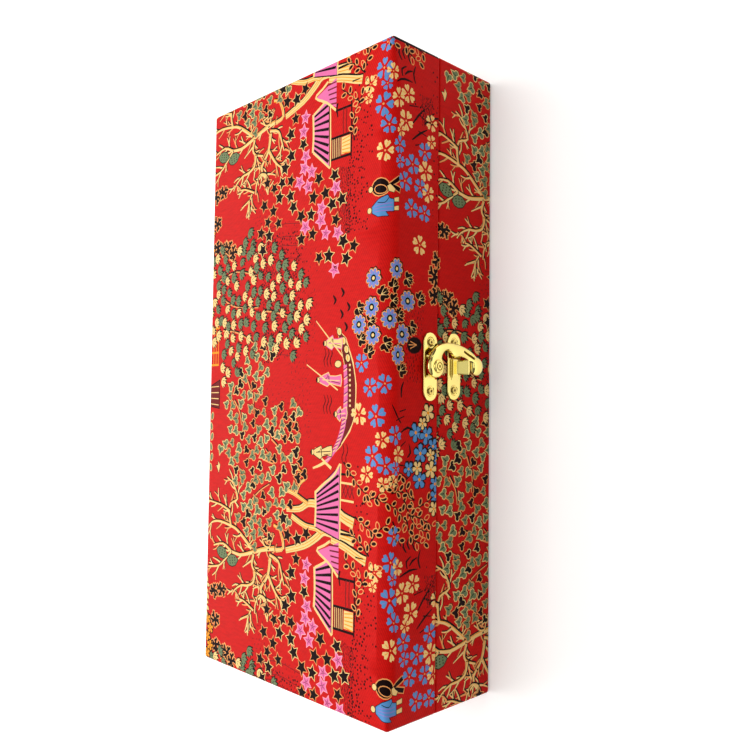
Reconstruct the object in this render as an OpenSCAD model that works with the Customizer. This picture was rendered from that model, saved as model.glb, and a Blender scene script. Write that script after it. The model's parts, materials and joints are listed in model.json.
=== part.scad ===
// Brocade-covered keepsake box with a hinged lid and a brass horn latch.
// Millimetres. X runs along the box, Y from front (-) to back (+), Z up.
// The origin is the middle of the underside. The lid is drawn closed and the hook latched.

/* [Box] */
// Length of the box, left to right
box_len = 300; // [220:5:380]
// Width of the box, front to back
box_wid = 140; // [100:5:200]
// Height of the base, from the table to the seam
base_h = 40; // [36:1:60]
// Height of the lid, from the seam to the top
lid_h = 31; // [28:1:50]

/* [Boards] */
// Thickness of the wall boards
wall_t = 6; // [5.5:0.5:8]
// Thickness of the floor board
floor_t = 4; // [3:0.5:6]
// Thickness of the board in the lid's top
top_t = 5; // [3:0.5:6]

/* [Brocade] */
// Thickness of the brocade with its paper backing
cloth_t = 0.6; // [0.4:0.1:0.9]
// Rounding of the wrapped edges
edge_r = 1.6; // [1.3:0.1:2.4]
// Rounding where the brocade turns over a rim
rim_r = 1; // [0.95:0.05:1.3]
// How far the brocade is turned down inside the rims
turn_in = 8; // [5:1:10]
// Width of the brocade glued under the floor
turn_under = 14; // [8:1:24]
// How far down the lid's front edge is eased
ease_down = 5.5; // [3:0.5:8]
// Length over which that easing runs out at each end
ease_fade = 22; // [12:1:30]

/* [Underside and lining] */
// Thickness of the card under the base
card_t = 0.5; // [0.3:0.1:1]
// How far the card stops short of the edges
card_inset = 4; // [3:0.5:7]
// Thickness of the satin-covered lining card
lining_t = 1.2; // [0.8:0.1:2]
// How far the lining stops short of the rims
lining_drop = 4; // [2:0.5:4.5]

/* [Satin pads] */
// Thickness of the pad on the floor at its middle
base_pad_t = 11; // [7:0.5:14]
// Thickness of the pad in the lid at its middle
lid_pad_t = 7; // [5:0.5:9]
// Height of the pads' crown over their sides
pad_crown = 3; // [1:0.5:4]
// How far the pads' sides pull in between the corners
pad_draw = 1.5; // [0.5:0.25:3]
// Clearance between a pad and the lining
pad_gap = 0.3; // [0.2:0.1:1]

/* [Latch plates] */
// Middle of the latch, right of the middle of the box
latch_x = 5.3; // [-40:0.1:40]
// Height of the hook's pivot over the seam
hook_up = 6; // [5.5:0.25:8]
// Depth of the catch plate's middle under the seam
catch_down = 10.5; // [9:0.25:12]
// How far right of the hook's pivot the catch plate sits
catch_shift = 0.8; // [0:0.1:1.2]
// Length of each plate
plate_len = 31; // [29:0.5:34]
// Width of each plate
plate_wid = 9; // [8.5:0.25:10]
// Thickness of the plates' sheet
plate_t = 1; // [0.8:0.1:1.2]
// Bevel along the plates' outer edge
plate_bevel = 0.25; // [0.1:0.05:0.35]
// Height of the bridge that carries the hook
bridge_rise = 1.8; // [1.6:0.1:2.4]
// Width of that bridge
bridge_wid = 5.6; // [5:0.1:6.2]
// Half the length of the bridge's raised flat
bridge_half = 3.4; // [3.2:0.1:4]

/* [Catch] */
// Width of the catch block
catch_wid = 6.7; // [5.5:0.1:7]
// Height of the catch block
catch_high = 3.5; // [3:0.1:4]
// How far the catch block stands out from the box
catch_out = 6.9; // [6:0.1:8]
// Depth of the catch block's top under the plate's middle
catch_top = 0.6; // [0.2:0.1:1]
// Width of the tongue that carries the block
tongue_wid = 4.4; // [3.6:0.1:5]
// Height of the tongue's rise from the plate
tongue_rise = 1.2; // [0.8:0.1:1.6]

/* [Hook] */
// Outer radius of the ring round the pivot
ring_r = 5.2; // [4.8:0.1:5.6]
// Thickness of the hook
hook_t = 2.5; // [2:0.1:3]
// Radius of the knob at the tip
knob_r = 4.4; // [3.8:0.1:4.6]
// Thickness of that knob
knob_t = 3.6; // [3:0.1:4.2]
// Radius of the rivet that the hook turns on
rivet_r = 1.5; // [1.2:0.1:1.8]
// Radius of the rivet's head
rivet_head_r = 2.8; // [2.4:0.1:3.2]
// Height of the rivet's head
rivet_head_h = 0.9; // [0.6:0.1:1.2]
// Running clearance round the rivet, and under its head and the hook
hook_gap = 0.1; // [0.05:0.01:0.2]

/* [Hinges] */
// Distance between the middles of the two hinges
hinge_span = 170; // [100:5:190]
// Length of each hinge
hinge_len = 24; // [18:1:30]
// Height of each leaf from the seam
leaf_h = 10; // [8:0.5:13]
// Thickness of the leaves
leaf_t = 0.8; // [0.6:0.1:1]
// Outer radius of the knuckles
knuckle_r = 1.7; // [1.5:0.1:2]
// Radius of the hinge pins
pin_r = 0.75; // [0.6:0.05:0.9]
// Clearance between the knuckles, round the pins and behind the knuckles
hinge_gap = 0.2; // [0.1:0.05:0.3]

/* [Nails] */
// Radius of the nails' shanks
nail_r = 0.65; // [0.5:0.05:0.8]
// Length of the nails' shanks
nail_len = 5; // [4:0.25:5.5]
// Radius of the nails' domed heads
nail_head_r = 1.6; // [1.3:0.1:1.8]
// Height of the nails' domed heads
nail_head_h = 0.8; // [0.6:0.1:0.9]
// Radius of the dished ring round each latch nail
dish_r = 2.6; // [2.2:0.1:3]
// Depth of that dish
dish_deep = 0.35; // [0.2:0.05:0.45]

/* [Hidden] */
$fn = 48;

// Colours, as they look in daylight
RED = [0.78, 0.10, 0.09];
BOARD = [0.72, 0.62, 0.47];
CARD = [0.16, 0.14, 0.14];
SATIN = [0.91, 0.74, 0.32];
GOLD = [0.90, 0.78, 0.38];
OLD_GOLD = [0.70, 0.58, 0.26];

// Places worked out from the sizes above
half_len = box_len / 2;
half_wid = box_wid / 2;
base_block_h = base_h - card_t;
ease_back = wall_t + cloth_t;
cavity_x = half_len - cloth_t - wall_t;
cavity_y = half_wid - cloth_t - wall_t;
lining_x = cavity_x - cloth_t;
lining_y = cavity_y - cloth_t;
floor_top = card_t + cloth_t + floor_t;
ceiling = base_h + lid_h - cloth_t - top_t;
ear_r = plate_wid / 2;
ear_x = plate_len / 2 - ear_r;
pivot_z = base_h + hook_up;
catch_z = base_h - catch_down;
hook_back = plate_t + bridge_rise + hook_gap;
pin_out = knuckle_r + hinge_gap;
overrun = 1;

// Points of an elliptical arc
function arc(cx, cy, rx, ry, from, to, n) =
    [for (k = [0 : n]) let (a = from + (to - from) * k / n) [cx + rx * cos(a), cy + ry * sin(a)]];

// Outline of a wrapped block across the box. It stands on its rim at z = 0.
// The front top edge is eased back and down where ease is 1, and plainly rounded where it is 0.
function block_section(h, inset, shrink, ease) =
    let (
        r = edge_r - inset,
        round_r = max(r - shrink, 0.05),
        rim = rim_r - inset,
        rim_shrink = shrink * rim / r,
        rim_round = max(rim - rim_shrink, 0.04),
        y = half_wid - inset - shrink,
        low = inset + rim_shrink,
        high = h - inset - shrink,
        back = round_r + (ease_back - edge_r) * ease,
        down = round_r + (ease_down - edge_r) * ease,
        sweep = 90 - 40 * ease,
        ry = back / (1 - cos(sweep)),
        rz = down / sin(sweep)
    )
    concat(
        arc(-y + rim_round, low + rim_round, rim_round, rim_round, 270, 180, 2),
        arc(-y + ry, high - down, ry, rz, 180, 180 - sweep, 8),
        arc(y - round_r, high - round_r, round_r, round_r, 90, 0, 4),
        arc(y - rim_round, low + rim_round, rim_round, rim_round, 0, -90, 2)
    );

// Where the sections stand along the box: [x, shrink, ease], left end first
function block_stations(inset, eased) =
    let (
        r = edge_r - inset,
        ends = [for (a = [90 : -30 : 0]) [half_len - inset - r * (1 - sin(a)), r * (1 - cos(a)), 0]],
        fades = [for (t = [0.25 : 0.25 : 1])
            [half_len - edge_r - (ease_fade - edge_r) * t, 0, t * t * (3 - 2 * t)]],
        right = concat(ends, eased ? fades : [])
    )
    concat(
        [for (s = right) [-s[0], s[1], s[2]]],
        [for (k = [len(right) - 1 : -1 : 0]) right[k]]
    );

// Skins a list of closed rings of points, each of n points, with flat ends
module skin(rings) {
    n = len(rings[0]);
    last = len(rings) - 1;
    polyhedron(
        points = [for (ring = rings) each ring],
        faces = concat(
            [[for (k = [n - 1 : -1 : 0]) k]],
            [for (j = [0 : last - 1], k = [0 : n - 1])
                [j * n + k, j * n + (k + 1) % n, (j + 1) * n + (k + 1) % n]],
            [for (j = [0 : last - 1], k = [0 : n - 1])
                [j * n + k, (j + 1) * n + (k + 1) % n, (j + 1) * n + k]],
            [[for (k = [0 : n - 1]) last * n + k]]
        ),
        convexity = 6
    );
}

// A block with wrapped, rounded edges, standing on its rim at z = 0
module block(h, inset, eased) {
    skin([for (s = block_stations(inset, eased))
        [for (p = block_section(h, inset, s[1], s[2])) [s[0], p[0], p[1]]]]);
}

module lid_block(inset) {
    translate([0, 0, base_h]) block(lid_h, inset, true);
}

module base_block(inset) {
    translate([0, 0, base_h]) mirror([0, 0, 1]) block(base_block_h, inset, false);
}

// A centred bar from z = low to z = high
module bar(hx, hy, low, high) {
    translate([-hx, -hy, low]) cube([2 * hx, 2 * hy, high - low]);
}

// A ring of cloth turned down inside a rim
module turned_in(low, high) {
    difference() {
        bar(cavity_x, cavity_y, low, high);
        bar(cavity_x - cloth_t, cavity_y - cloth_t, low - overrun, high + overrun);
    }
}

// Places a piece on the front face: its X to the right, Y up and Z out of the box
module on_front(x, z) {
    translate([x, -half_wid, z]) rotate([90, 0, 0]) children();
}

// Places a piece on the back face in the same way, seen from behind
module on_back(x, z) {
    translate([x, half_wid, z]) rotate([90, 0, 180]) children();
}

module nail_hole() {
    translate([0, 0, -nail_len]) cylinder(r = nail_r, h = nail_len + overrun);
}

// Domed nail with its head seated at z = seat
module nail(seat) {
    translate([0, 0, seat]) rotate_extrude() polygon(concat(
        [[0, -nail_len - seat], [nail_r, -nail_len - seat], [nail_r, 0], [nail_head_r, 0]],
        arc(0, nail_head_h * 0.25, nail_head_r, nail_head_h * 0.75, 0, 90, 5)
    ));
}

module at_hook_nails() {
    for (side = [-1, 1]) on_front(latch_x + side * ear_x, pivot_z) children();
}

module at_catch_nails() {
    for (side = [-1, 1]) on_front(latch_x + catch_shift + side * ear_x, catch_z) children();
}

// The hinge nails of the lid (up = 1) or the base (up = -1)
module at_hinge_nails(up) {
    for (side = [-1, 1], end = [-1, 1])
        on_back(side * hinge_span / 2 + end * (hinge_len / 2 - leaf_h * 0.4), base_h + up * leaf_h * 0.62)
            children();
}

// Boards

module bottom_card() {
    color(CARD) union() {
        bar(half_len - card_inset, half_wid - card_inset, 0, card_t);
        bar(half_len - turn_under, half_wid - turn_under, 0, card_t + cloth_t);
    }
}

module base_floor_board() {
    color(BOARD) intersection() {
        base_block(cloth_t);
        bar(half_len, half_wid, 0, floor_top);
    }
}

// The space that the front (side = -1) or back (side = 1) board fills
module long_slab(side, low, high) {
    translate([0, side * (cavity_y + wall_t / 2 + overrun / 2), 0])
        bar(half_len, (wall_t + overrun) / 2, low, high);
}

// The space that an end board fills between the front and back boards
module end_slab(side, low, high) {
    translate([side * (cavity_x + wall_t / 2 + overrun / 2), 0, 0])
        bar((wall_t + overrun) / 2, cavity_y, low, high);
}

module base_front_board() {
    color(BOARD) difference() {
        intersection() {
            base_block(cloth_t);
            long_slab(-1, floor_top, base_h);
        }
        at_catch_nails() nail_hole();
    }
}

module base_back_board() {
    color(BOARD) difference() {
        intersection() {
            base_block(cloth_t);
            long_slab(1, floor_top, base_h);
        }
        at_hinge_nails(-1) nail_hole();
    }
}

module base_end_board(side) {
    color(BOARD) intersection() {
        base_block(cloth_t);
        end_slab(side, floor_top, base_h);
    }
}

module lid_top_board() {
    color(BOARD) bar(cavity_x, cavity_y, ceiling, ceiling + top_t);
}

module lid_front_board() {
    color(BOARD) difference() {
        intersection() {
            lid_block(cloth_t);
            long_slab(-1, base_h, base_h + lid_h);
        }
        at_hook_nails() nail_hole();
    }
}

module lid_back_board() {
    color(BOARD) difference() {
        intersection() {
            lid_block(cloth_t);
            long_slab(1, base_h, base_h + lid_h);
        }
        at_hinge_nails(1) nail_hole();
    }
}

module lid_end_board(side) {
    color(BOARD) intersection() {
        lid_block(cloth_t);
        end_slab(side, base_h, base_h + lid_h);
    }
}

// Brocade, glued over the boards and turned in at the rims

module base_brocade() {
    color(RED) difference() {
        union() {
            difference() {
                base_block(0);
                base_block(cloth_t);
                bar(cavity_x, cavity_y, base_h - cloth_t - overrun, base_h + overrun);
            }
            turned_in(base_h - turn_in, base_h);
        }
        bar(half_len - turn_under, half_wid - turn_under, 0, card_t + cloth_t + overrun);
        at_catch_nails() nail_hole();
        at_hinge_nails(-1) nail_hole();
    }
}

module lid_brocade() {
    color(RED) difference() {
        union() {
            difference() {
                lid_block(0);
                lid_block(cloth_t);
                bar(cavity_x, cavity_y, base_h - overrun, base_h + cloth_t + overrun);
            }
            turned_in(base_h, base_h + turn_in);
        }
        at_hook_nails() nail_hole();
        at_hinge_nails(1) nail_hole();
    }
}

// Linings: satin-covered card trays, open towards the seam

module base_lining() {
    color(SATIN) difference() {
        bar(lining_x, lining_y, floor_top, base_h - lining_drop);
        bar(lining_x - lining_t, lining_y - lining_t, floor_top + lining_t, base_h);
    }
}

module lid_lining() {
    color(SATIN) difference() {
        bar(lining_x, lining_y, base_h + lining_drop, ceiling);
        bar(lining_x - lining_t, lining_y - lining_t, base_h, ceiling - lining_t);
    }
}

// Pad with a flat back at z = 0, a crowned face and sides that pull in between the corners
module pad(thick) {
    hx = lining_x - lining_t - pad_gap;
    hy = lining_y - lining_t - pad_gap;
    side_h = thick - pad_crown;
    nx = 20;
    ny = 12;
    function across(k, n) = sin(90 * (2 * k / n - 1));
    function puff(u, v) = pow(max((1 - pow(u, 4)) * (1 - pow(v, 4)), 0), 0.4);
    function spot(j, k, z) =
        let (u = across(j, nx), v = across(k, ny))
        [u * (hx - pad_draw * (1 - v * v)), v * (hy - pad_draw * (1 - u * u)), z];
    rim = concat(
        [for (j = [0 : nx - 1]) [j, 0]],
        [for (k = [0 : ny - 1]) [nx, k]],
        [for (j = [nx : -1 : 1]) [j, ny]],
        [for (k = [ny : -1 : 1]) [0, k]]
    );
    m = len(rim);
    row = ny + 1;
    top = m;
    polyhedron(
        points = concat(
            [for (e = rim) spot(e[0], e[1], 0)],
            [for (j = [0 : nx], k = [0 : ny])
                spot(j, k, side_h + pad_crown * puff(across(j, nx), across(k, ny)))]
        ),
        faces = concat(
            [[for (i = [0 : m - 1]) i]],
            [for (i = [0 : m - 1])
                let (a = rim[i], b = rim[(i + 1) % m])
                [i, top + a[0] * row + a[1], top + b[0] * row + b[1]]],
            [for (i = [0 : m - 1])
                let (b = rim[(i + 1) % m])
                [i, top + b[0] * row + b[1], (i + 1) % m]],
            [for (j = [0 : nx - 1], k = [0 : ny - 1])
                [top + j * row + k, top + j * row + k + 1, top + (j + 1) * row + k + 1]],
            [for (j = [0 : nx - 1], k = [0 : ny - 1])
                [top + j * row + k, top + (j + 1) * row + k + 1, top + (j + 1) * row + k]]
        )
    );
}

module base_pad() {
    color(SATIN) translate([0, 0, floor_top + lining_t]) pad(base_pad_t);
}

module lid_pad() {
    color(SATIN) translate([0, 0, ceiling - lining_t]) mirror([0, 0, 1]) pad(lid_pad_t);
}

// Latch

// Flat bar with round ends and a bevelled face, its ends' centres at +-span
module round_bar(span, r, t, bevel) {
    for (side = [-1, 1]) translate([side * span, 0, 0]) {
        cylinder(r = r, h = t - bevel);
        translate([0, 0, t - bevel]) cylinder(r1 = r, r2 = r - bevel, h = bevel);
    }
    rotate([90, 0, 90]) translate([0, 0, -span]) linear_extrude(2 * span) polygon([
        [-r, 0], [r, 0], [r, t - bevel], [r - bevel, t], [-r + bevel, t], [-r, t - bevel]
    ]);
}

// The nail's hole and the dish round it
module nail_seat() {
    translate([0, 0, -overrun]) cylinder(r = nail_r, h = plate_t + 2 * overrun);
    translate([0, 0, plate_t - dish_deep]) cylinder(r1 = dish_r - dish_deep, r2 = dish_r, h = dish_deep);
    translate([0, 0, plate_t]) cylinder(r = dish_r, h = overrun);
}

// Sheet of thickness plate_t that rises from the plate to the height rise, extruded across wid.
// from is where it leaves the plate, knee is where it levels off, to is its end.
module raised_strip(from, knee, to, rise, wid) {
    root = from < knee ? -plate_t : plate_t;
    rotate([90, 0, 0]) translate([0, 0, -wid / 2]) linear_extrude(wid) polygon([
        [from + root, 0], [from, 0], [knee, rise], [to, rise],
        [to, rise + plate_t], [knee - root * 0.4, rise + plate_t],
        [from - root * 0.4, plate_t], [from + root, plate_t]
    ]);
}

module hook_plate() {
    foot = bridge_half + bridge_rise + 0.4;
    window_low = -ear_r - overrun;
    window_high = bridge_wid / 2;
    color(GOLD) on_front(latch_x, pivot_z) difference() {
        union() {
            difference() {
                round_bar(ear_x, ear_r, plate_t, plate_bevel);
                translate([-foot, window_low, -overrun])
                    cube([2 * foot, window_high - window_low, plate_t + 2 * overrun]);
            }
            for (side = [-1, 1])
                raised_strip(side * foot, side * bridge_half, 0, bridge_rise, bridge_wid);
        }
        for (side = [-1, 1]) translate([side * ear_x, 0, 0]) nail_seat();
        cylinder(r = rivet_r, h = plate_t + bridge_rise + overrun);
    }
}

module catch_plate() {
    tongue_root = -ear_x + dish_r + plate_t;
    tongue_knee = -catch_wid / 2 - catch_shift;
    tongue_end = catch_wid / 2 - catch_shift / 2;
    block_x = catch_shift / 2;
    corner = catch_high * 0.35;
    color(GOLD) on_front(latch_x + catch_shift, catch_z) difference() {
        union() {
            difference() {
                round_bar(ear_x, ear_r, plate_t, plate_bevel);
                translate([tongue_root, -tongue_wid / 2, -overrun])
                    cube([tongue_end - tongue_root, tongue_wid, plate_t + 2 * overrun]);
            }
            raised_strip(tongue_root, tongue_knee, tongue_end, tongue_rise, tongue_wid);
            translate([tongue_end - plate_t, -tongue_wid / 2, 0])
                cube([plate_t * 1.5, tongue_wid, tongue_rise + plate_t]);
            translate([-block_x, -catch_top - catch_high, tongue_rise]) linear_extrude(catch_out - tongue_rise)
                polygon([
                    [-catch_wid / 2 + corner, 0], [catch_wid / 2 - corner, 0],
                    [catch_wid / 2, corner], [catch_wid / 2, catch_high - corner / 2],
                    [catch_wid / 2 - corner / 2, catch_high], [-catch_wid / 2 + corner / 2, catch_high],
                    [-catch_wid / 2, catch_high - corner / 2], [-catch_wid / 2, corner]
                ]);
        }
        for (side = [-1, 1]) translate([side * ear_x, 0, 0]) nail_seat();
    }
}

module hook_plate_nails() {
    color(OLD_GOLD) at_hook_nails() nail(plate_t - dish_deep);
}

module catch_plate_nails() {
    color(OLD_GOLD) at_catch_nails() nail(plate_t - dish_deep);
}

// Rivet through the bridge and the hook's ring: flattened tail, shank, domed and dimpled head
module hook_rivet() {
    tail_z = bridge_rise;
    head_z = hook_back + hook_t + hook_gap;
    tail_h = 0.7;
    dimple_r = 0.7;
    color(GOLD) on_front(latch_x, pivot_z) rotate_extrude() polygon(concat(
        [[0, tail_z - tail_h], [rivet_r + 0.5, tail_z - tail_h], [rivet_r + 0.7, tail_z],
         [rivet_r, tail_z], [rivet_r, head_z], [rivet_head_r, head_z]],
        arc(dimple_r, head_z + rivet_head_h * 0.3, rivet_head_r - dimple_r, rivet_head_h * 0.7, 0, 90, 5),
        [[0, head_z + rivet_head_h * 0.5]]
    ));
}

// Middle line of the hook from its ring to its knob: [right, up, half width, lift].
// It bulges to the right, and its widest place inside forms the cusp beside the catch.
HORN = [
    [1.0, 0.2, 3.8, 0], [3.6, -0.4, 3.9, 0], [6.1, -1.6, 3.0, 0], [8.3, -4.2, 2.2, 0],
    [9.4, -7.6, 1.9, 0], [9.1, -11.0, 2.3, 0], [7.9, -14.8, 3.2, 0], [7.7, -18.2, 2.7, 0],
    [6.8, -21.8, 2.4, 0.1], [5.0, -25.2, 2.4, 0.4], [2.6, -27.8, 2.8, 0.7], [1.3, -28.9, 3.2, 0.8]
];
KNOB = [1.3, -28.5];
horn_steps = 4;

// Smooth curve through four values, between the second and the third
function through(a, b, c, d, t) =
    (2 * b + (c - a) * t + (2 * a - 5 * b + 4 * c - d) * t * t + (3 * b - a - 3 * c + d) * t * t * t) / 2;

function horn_at(s) =
    let (
        last = len(HORN) - 1,
        i = min(floor(s), last - 1)
    )
    through(HORN[max(i - 1, 0)], HORN[i], HORN[i + 1], HORN[min(i + 2, last)], s - i);

// Section of the hook: flat back, low sides and a domed face, from left to right
function horn_section(half, thick) =
    let (side_h = thick * 0.35, foot = 0.25)
    concat(
        [[-half + foot, 0], [-half, foot]],
        arc(0, side_h, half, thick - side_h, 180, 0, 8),
        [[half, foot], [half - foot, 0]]
    );

function horn_ring(s) =
    let (
        at = horn_at(s),
        end = (len(HORN) - 1),
        way = horn_at(min(s + 0.05, end)) - horn_at(max(s - 0.05, 0)),
        run = norm([way[0], way[1]]),
        left = [-way[1], way[0]] / run
    )
    [for (p = horn_section(at[2], hook_t)) [at[0] + left[0] * p[0], at[1] + left[1] * p[0], at[3] + p[1]]];

module horn_hook() {
    ring_flat = rivet_head_r + 0.3;
    side_h = hook_t * 0.35;
    foot = 0.25;
    color(GOLD) on_front(latch_x, pivot_z) translate([0, 0, hook_back]) difference() {
        union() {
            skin([for (k = [0 : (len(HORN) - 1) * horn_steps]) horn_ring(k / horn_steps)]);
            rotate_extrude() polygon(concat(
                [[0, 0], [ring_r - foot, 0], [ring_r, foot]],
                arc(ring_flat, side_h, ring_r - ring_flat, hook_t - side_h, 0, 90, 5),
                [[0, hook_t]]
            ));
            translate([KNOB[0], KNOB[1], 0]) rotate_extrude() polygon(concat(
                [[0, foot]],
                arc(0, knob_t * 0.45, knob_r, knob_t * 0.45 - foot, -60, 0, 3),
                arc(0, knob_t * 0.45, knob_r, knob_t * 0.55, 0, 90, 6)
            ));
        }
        translate([0, 0, -overrun]) cylinder(r = rivet_r + hook_gap, h = hook_t + 2 * overrun);
    }
}

// Hinges: X along the pin, Y up from the seam, Z out of the back

knuckle_len = (hinge_len - 2 * hinge_gap) / 3;

// Sheet of one leaf. The base's leaf has the two outer knuckles, the lid's the middle one.
module leaf(up, outer) {
    notch = knuckle_r + 2 * hinge_gap;
    starts = outer ? [-hinge_len / 2, hinge_len / 2 - knuckle_len] : [-knuckle_len / 2];
    bore = outer ? pin_r : pin_r + hinge_gap / 2;
    difference() {
        union() {
            translate([-hinge_len / 2, up > 0 ? notch : -leaf_h, 0]) cube([hinge_len, leaf_h - notch, leaf_t]);
            for (x = starts) {
                translate([x, up > 0 ? 0 : -notch - overrun / 2, 0])
                    cube([knuckle_len, notch + overrun / 2, leaf_t]);
                translate([x, 0, pin_out]) rotate([0, 90, 0]) cylinder(r = knuckle_r, h = knuckle_len);
            }
        }
        translate([-hinge_len, 0, pin_out]) rotate([0, 90, 0]) cylinder(r = bore, h = 2 * hinge_len);
    }
}

module base_leaf(side) {
    color(GOLD) difference() {
        on_back(side * hinge_span / 2, base_h) leaf(-1, true);
        at_hinge_nails(-1) translate([0, 0, -overrun]) cylinder(r = nail_r, h = leaf_t + 2 * overrun);
    }
}

module lid_leaf(side) {
    color(GOLD) difference() {
        on_back(side * hinge_span / 2, base_h) leaf(1, false);
        at_hinge_nails(1) translate([0, 0, -overrun]) cylinder(r = nail_r, h = leaf_t + 2 * overrun);
    }
}

module hinge_pin(side) {
    head_h = 0.5;
    head_r = knuckle_r * 0.7;
    color(OLD_GOLD) on_back(side * hinge_span / 2, base_h) translate([0, 0, pin_out]) rotate([0, 90, 0])
        rotate_extrude() polygon([
            [0, -hinge_len / 2 - head_h], [head_r * 0.7, -hinge_len / 2 - head_h],
            [head_r, -hinge_len / 2], [pin_r, -hinge_len / 2],
            [pin_r, hinge_len / 2], [head_r, hinge_len / 2],
            [head_r * 0.7, hinge_len / 2 + head_h], [0, hinge_len / 2 + head_h]
        ]);
}

module base_hinge_nails() {
    color(OLD_GOLD) at_hinge_nails(-1) nail(leaf_t);
}

module lid_hinge_nails() {
    color(OLD_GOLD) at_hinge_nails(1) nail(leaf_t);
}

bottom_card();
base_floor_board();
base_front_board();
base_back_board();
base_end_board(-1);  // base_left_board
base_end_board(1);  // base_right_board
base_brocade();
base_lining();
base_pad();
lid_top_board();
lid_front_board();
lid_back_board();
lid_end_board(-1);  // lid_left_board
lid_end_board(1);  // lid_right_board
lid_brocade();
lid_lining();
lid_pad();
catch_plate();
catch_plate_nails();
hook_plate();
hook_plate_nails();
hook_rivet();
horn_hook();
base_leaf(-1);  // left_hinge_base_leaf
lid_leaf(-1);  // left_hinge_lid_leaf
hinge_pin(-1);  // left_hinge_pin
base_leaf(1);  // right_hinge_base_leaf
lid_leaf(1);  // right_hinge_lid_leaf
hinge_pin(1);  // right_hinge_pin
base_hinge_nails();
lid_hinge_nails();
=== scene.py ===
"""Looks of a brocade keepsake box with a hinged lid and a brass horn latch.

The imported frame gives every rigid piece. This script weaves the brocade, wraps it round the lid and
the base, fills the satin pads, finishes the metal, and sets the floor, lights and camera.
Cloth is drawn flat in millimetres, as on the loom, and everything in the scene is in metres.
"""

import json
import math
import random

import bmesh
import bpy
import numpy as np
from mathutils import Matrix, Vector
from mathutils.geometry import delaunay_2d_cdt


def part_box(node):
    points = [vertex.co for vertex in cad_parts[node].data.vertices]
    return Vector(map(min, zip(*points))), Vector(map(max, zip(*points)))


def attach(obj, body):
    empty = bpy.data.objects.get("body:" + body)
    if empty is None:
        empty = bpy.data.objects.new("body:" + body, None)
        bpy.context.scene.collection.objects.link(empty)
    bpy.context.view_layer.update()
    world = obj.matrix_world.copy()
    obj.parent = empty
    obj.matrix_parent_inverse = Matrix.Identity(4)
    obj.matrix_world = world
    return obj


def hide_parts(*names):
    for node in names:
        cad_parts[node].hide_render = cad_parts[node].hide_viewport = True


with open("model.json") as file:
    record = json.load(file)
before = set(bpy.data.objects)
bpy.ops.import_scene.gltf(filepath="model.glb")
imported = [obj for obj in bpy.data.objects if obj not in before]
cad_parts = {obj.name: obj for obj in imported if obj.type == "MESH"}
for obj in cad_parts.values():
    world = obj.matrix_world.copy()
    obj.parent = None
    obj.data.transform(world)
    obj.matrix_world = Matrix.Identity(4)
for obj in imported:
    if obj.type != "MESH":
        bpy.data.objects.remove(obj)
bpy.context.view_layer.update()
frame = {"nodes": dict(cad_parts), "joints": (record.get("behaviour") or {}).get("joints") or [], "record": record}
nodes = frame["nodes"]

MM = 0.001

# A wave texture's bands are this wide, divided by its scale
BAND = 0.314

# The box as the frame has it, in millimetres
BOX_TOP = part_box("lid_brocade")[1].z / MM
HALF_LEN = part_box("lid_brocade")[1].x / MM
HALF_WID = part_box("lid_brocade")[1].y / MM
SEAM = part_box("lid_brocade")[0].z / MM
BASE_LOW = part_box("base_brocade")[0].z / MM
CAVITY_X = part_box("lid_top_board")[1].x / MM
CAVITY_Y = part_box("lid_top_board")[1].y / MM

# How the cloth is wrapped, in millimetres
EDGE_R = 1.6
RIM_R = 1.0
CLOTH_T = 0.6
TURN_IN = 8.0
TURN_UNDER = 14.0
EASE_BACK = HALF_WID - CAVITY_Y
EASE_DOWN = 5.5
EASE_FADE = 22.0

# The cloth is cut in tiles of this side, and points nearer than this are one
TILE = 45.0
CUT_FINE = 2e-3

# The side of each baked sheet of cloth, in millimetres, and the gap kept round its largest panel
LID_BAKE = 400
BASE_BAKE = 312
BAKE_GAP = 5

# The loom's repeat: across and down the cloth, a little out of true on the lid as it was glued
REPEAT_ACROSS = (216.0, -5.5, 0.0)
REPEAT_DOWN = (4.8, 190.0, 0.0)

# The base's belt of cloth: its corner on the loom, how far it is turned there, and how much it is drawn out
BELT_CORNER = (32.6, 24.2)
BELT_TILT = math.radians(4.6)
BELT_DRAWN = 1.018


# Small tools


def linear(colour):
    """The linear value of an sRGB hex colour such as "#C8201E"."""
    parts = [int(colour[k : k + 2], 16) / 255 for k in (1, 3, 5)]
    return [c / 12.92 if c <= 0.04045 else ((c + 0.055) / 1.055) ** 2.4 for c in parts] + [1.0]


def feed(tree, socket, value):
    """Gives a socket its value, or links it to the socket that gives one."""
    if isinstance(value, bpy.types.NodeSocket):
        tree.links.new(value, socket)
    else:
        socket.default_value = value


def add(tree, kind, inputs=None, **settings):
    """Adds a node. An input is given by its name or place, as a value or as the socket that feeds it."""
    made = tree.nodes.new(kind)
    for name, value in settings.items():
        setattr(made, name, value)
    for key, value in (inputs or {}).items():
        feed(tree, made.inputs[key], value)
    return made


def new_material(name):
    """An empty material with its output, and its Principled shader."""
    material = bpy.data.materials.new(name)
    material.use_nodes = True
    tree = material.node_tree
    tree.nodes.clear()
    shader = add(tree, "ShaderNodeBsdfPrincipled")
    add(tree, "ShaderNodeOutputMaterial", {"Surface": shader.outputs[0]})
    return material, tree, shader


def set_shader(tree, shader, **values):
    """Sets or feeds a shader's own sockets. In a name, _ stands for a space."""
    for name, value in values.items():
        feed(tree, shader.inputs[name.replace("_", " ")], value)


def worked(tree, operation, *values):
    """The result of a Math node."""
    return add(tree, "ShaderNodeMath", dict(enumerate(values)), operation=operation).outputs[0]


def mixed(tree, share, a, b):
    """The mean of a and b, with this share of b."""
    return add(tree, "ShaderNodeMix", {"Factor": share, "A": a, "B": b}, data_type="FLOAT").outputs[0]


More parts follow.
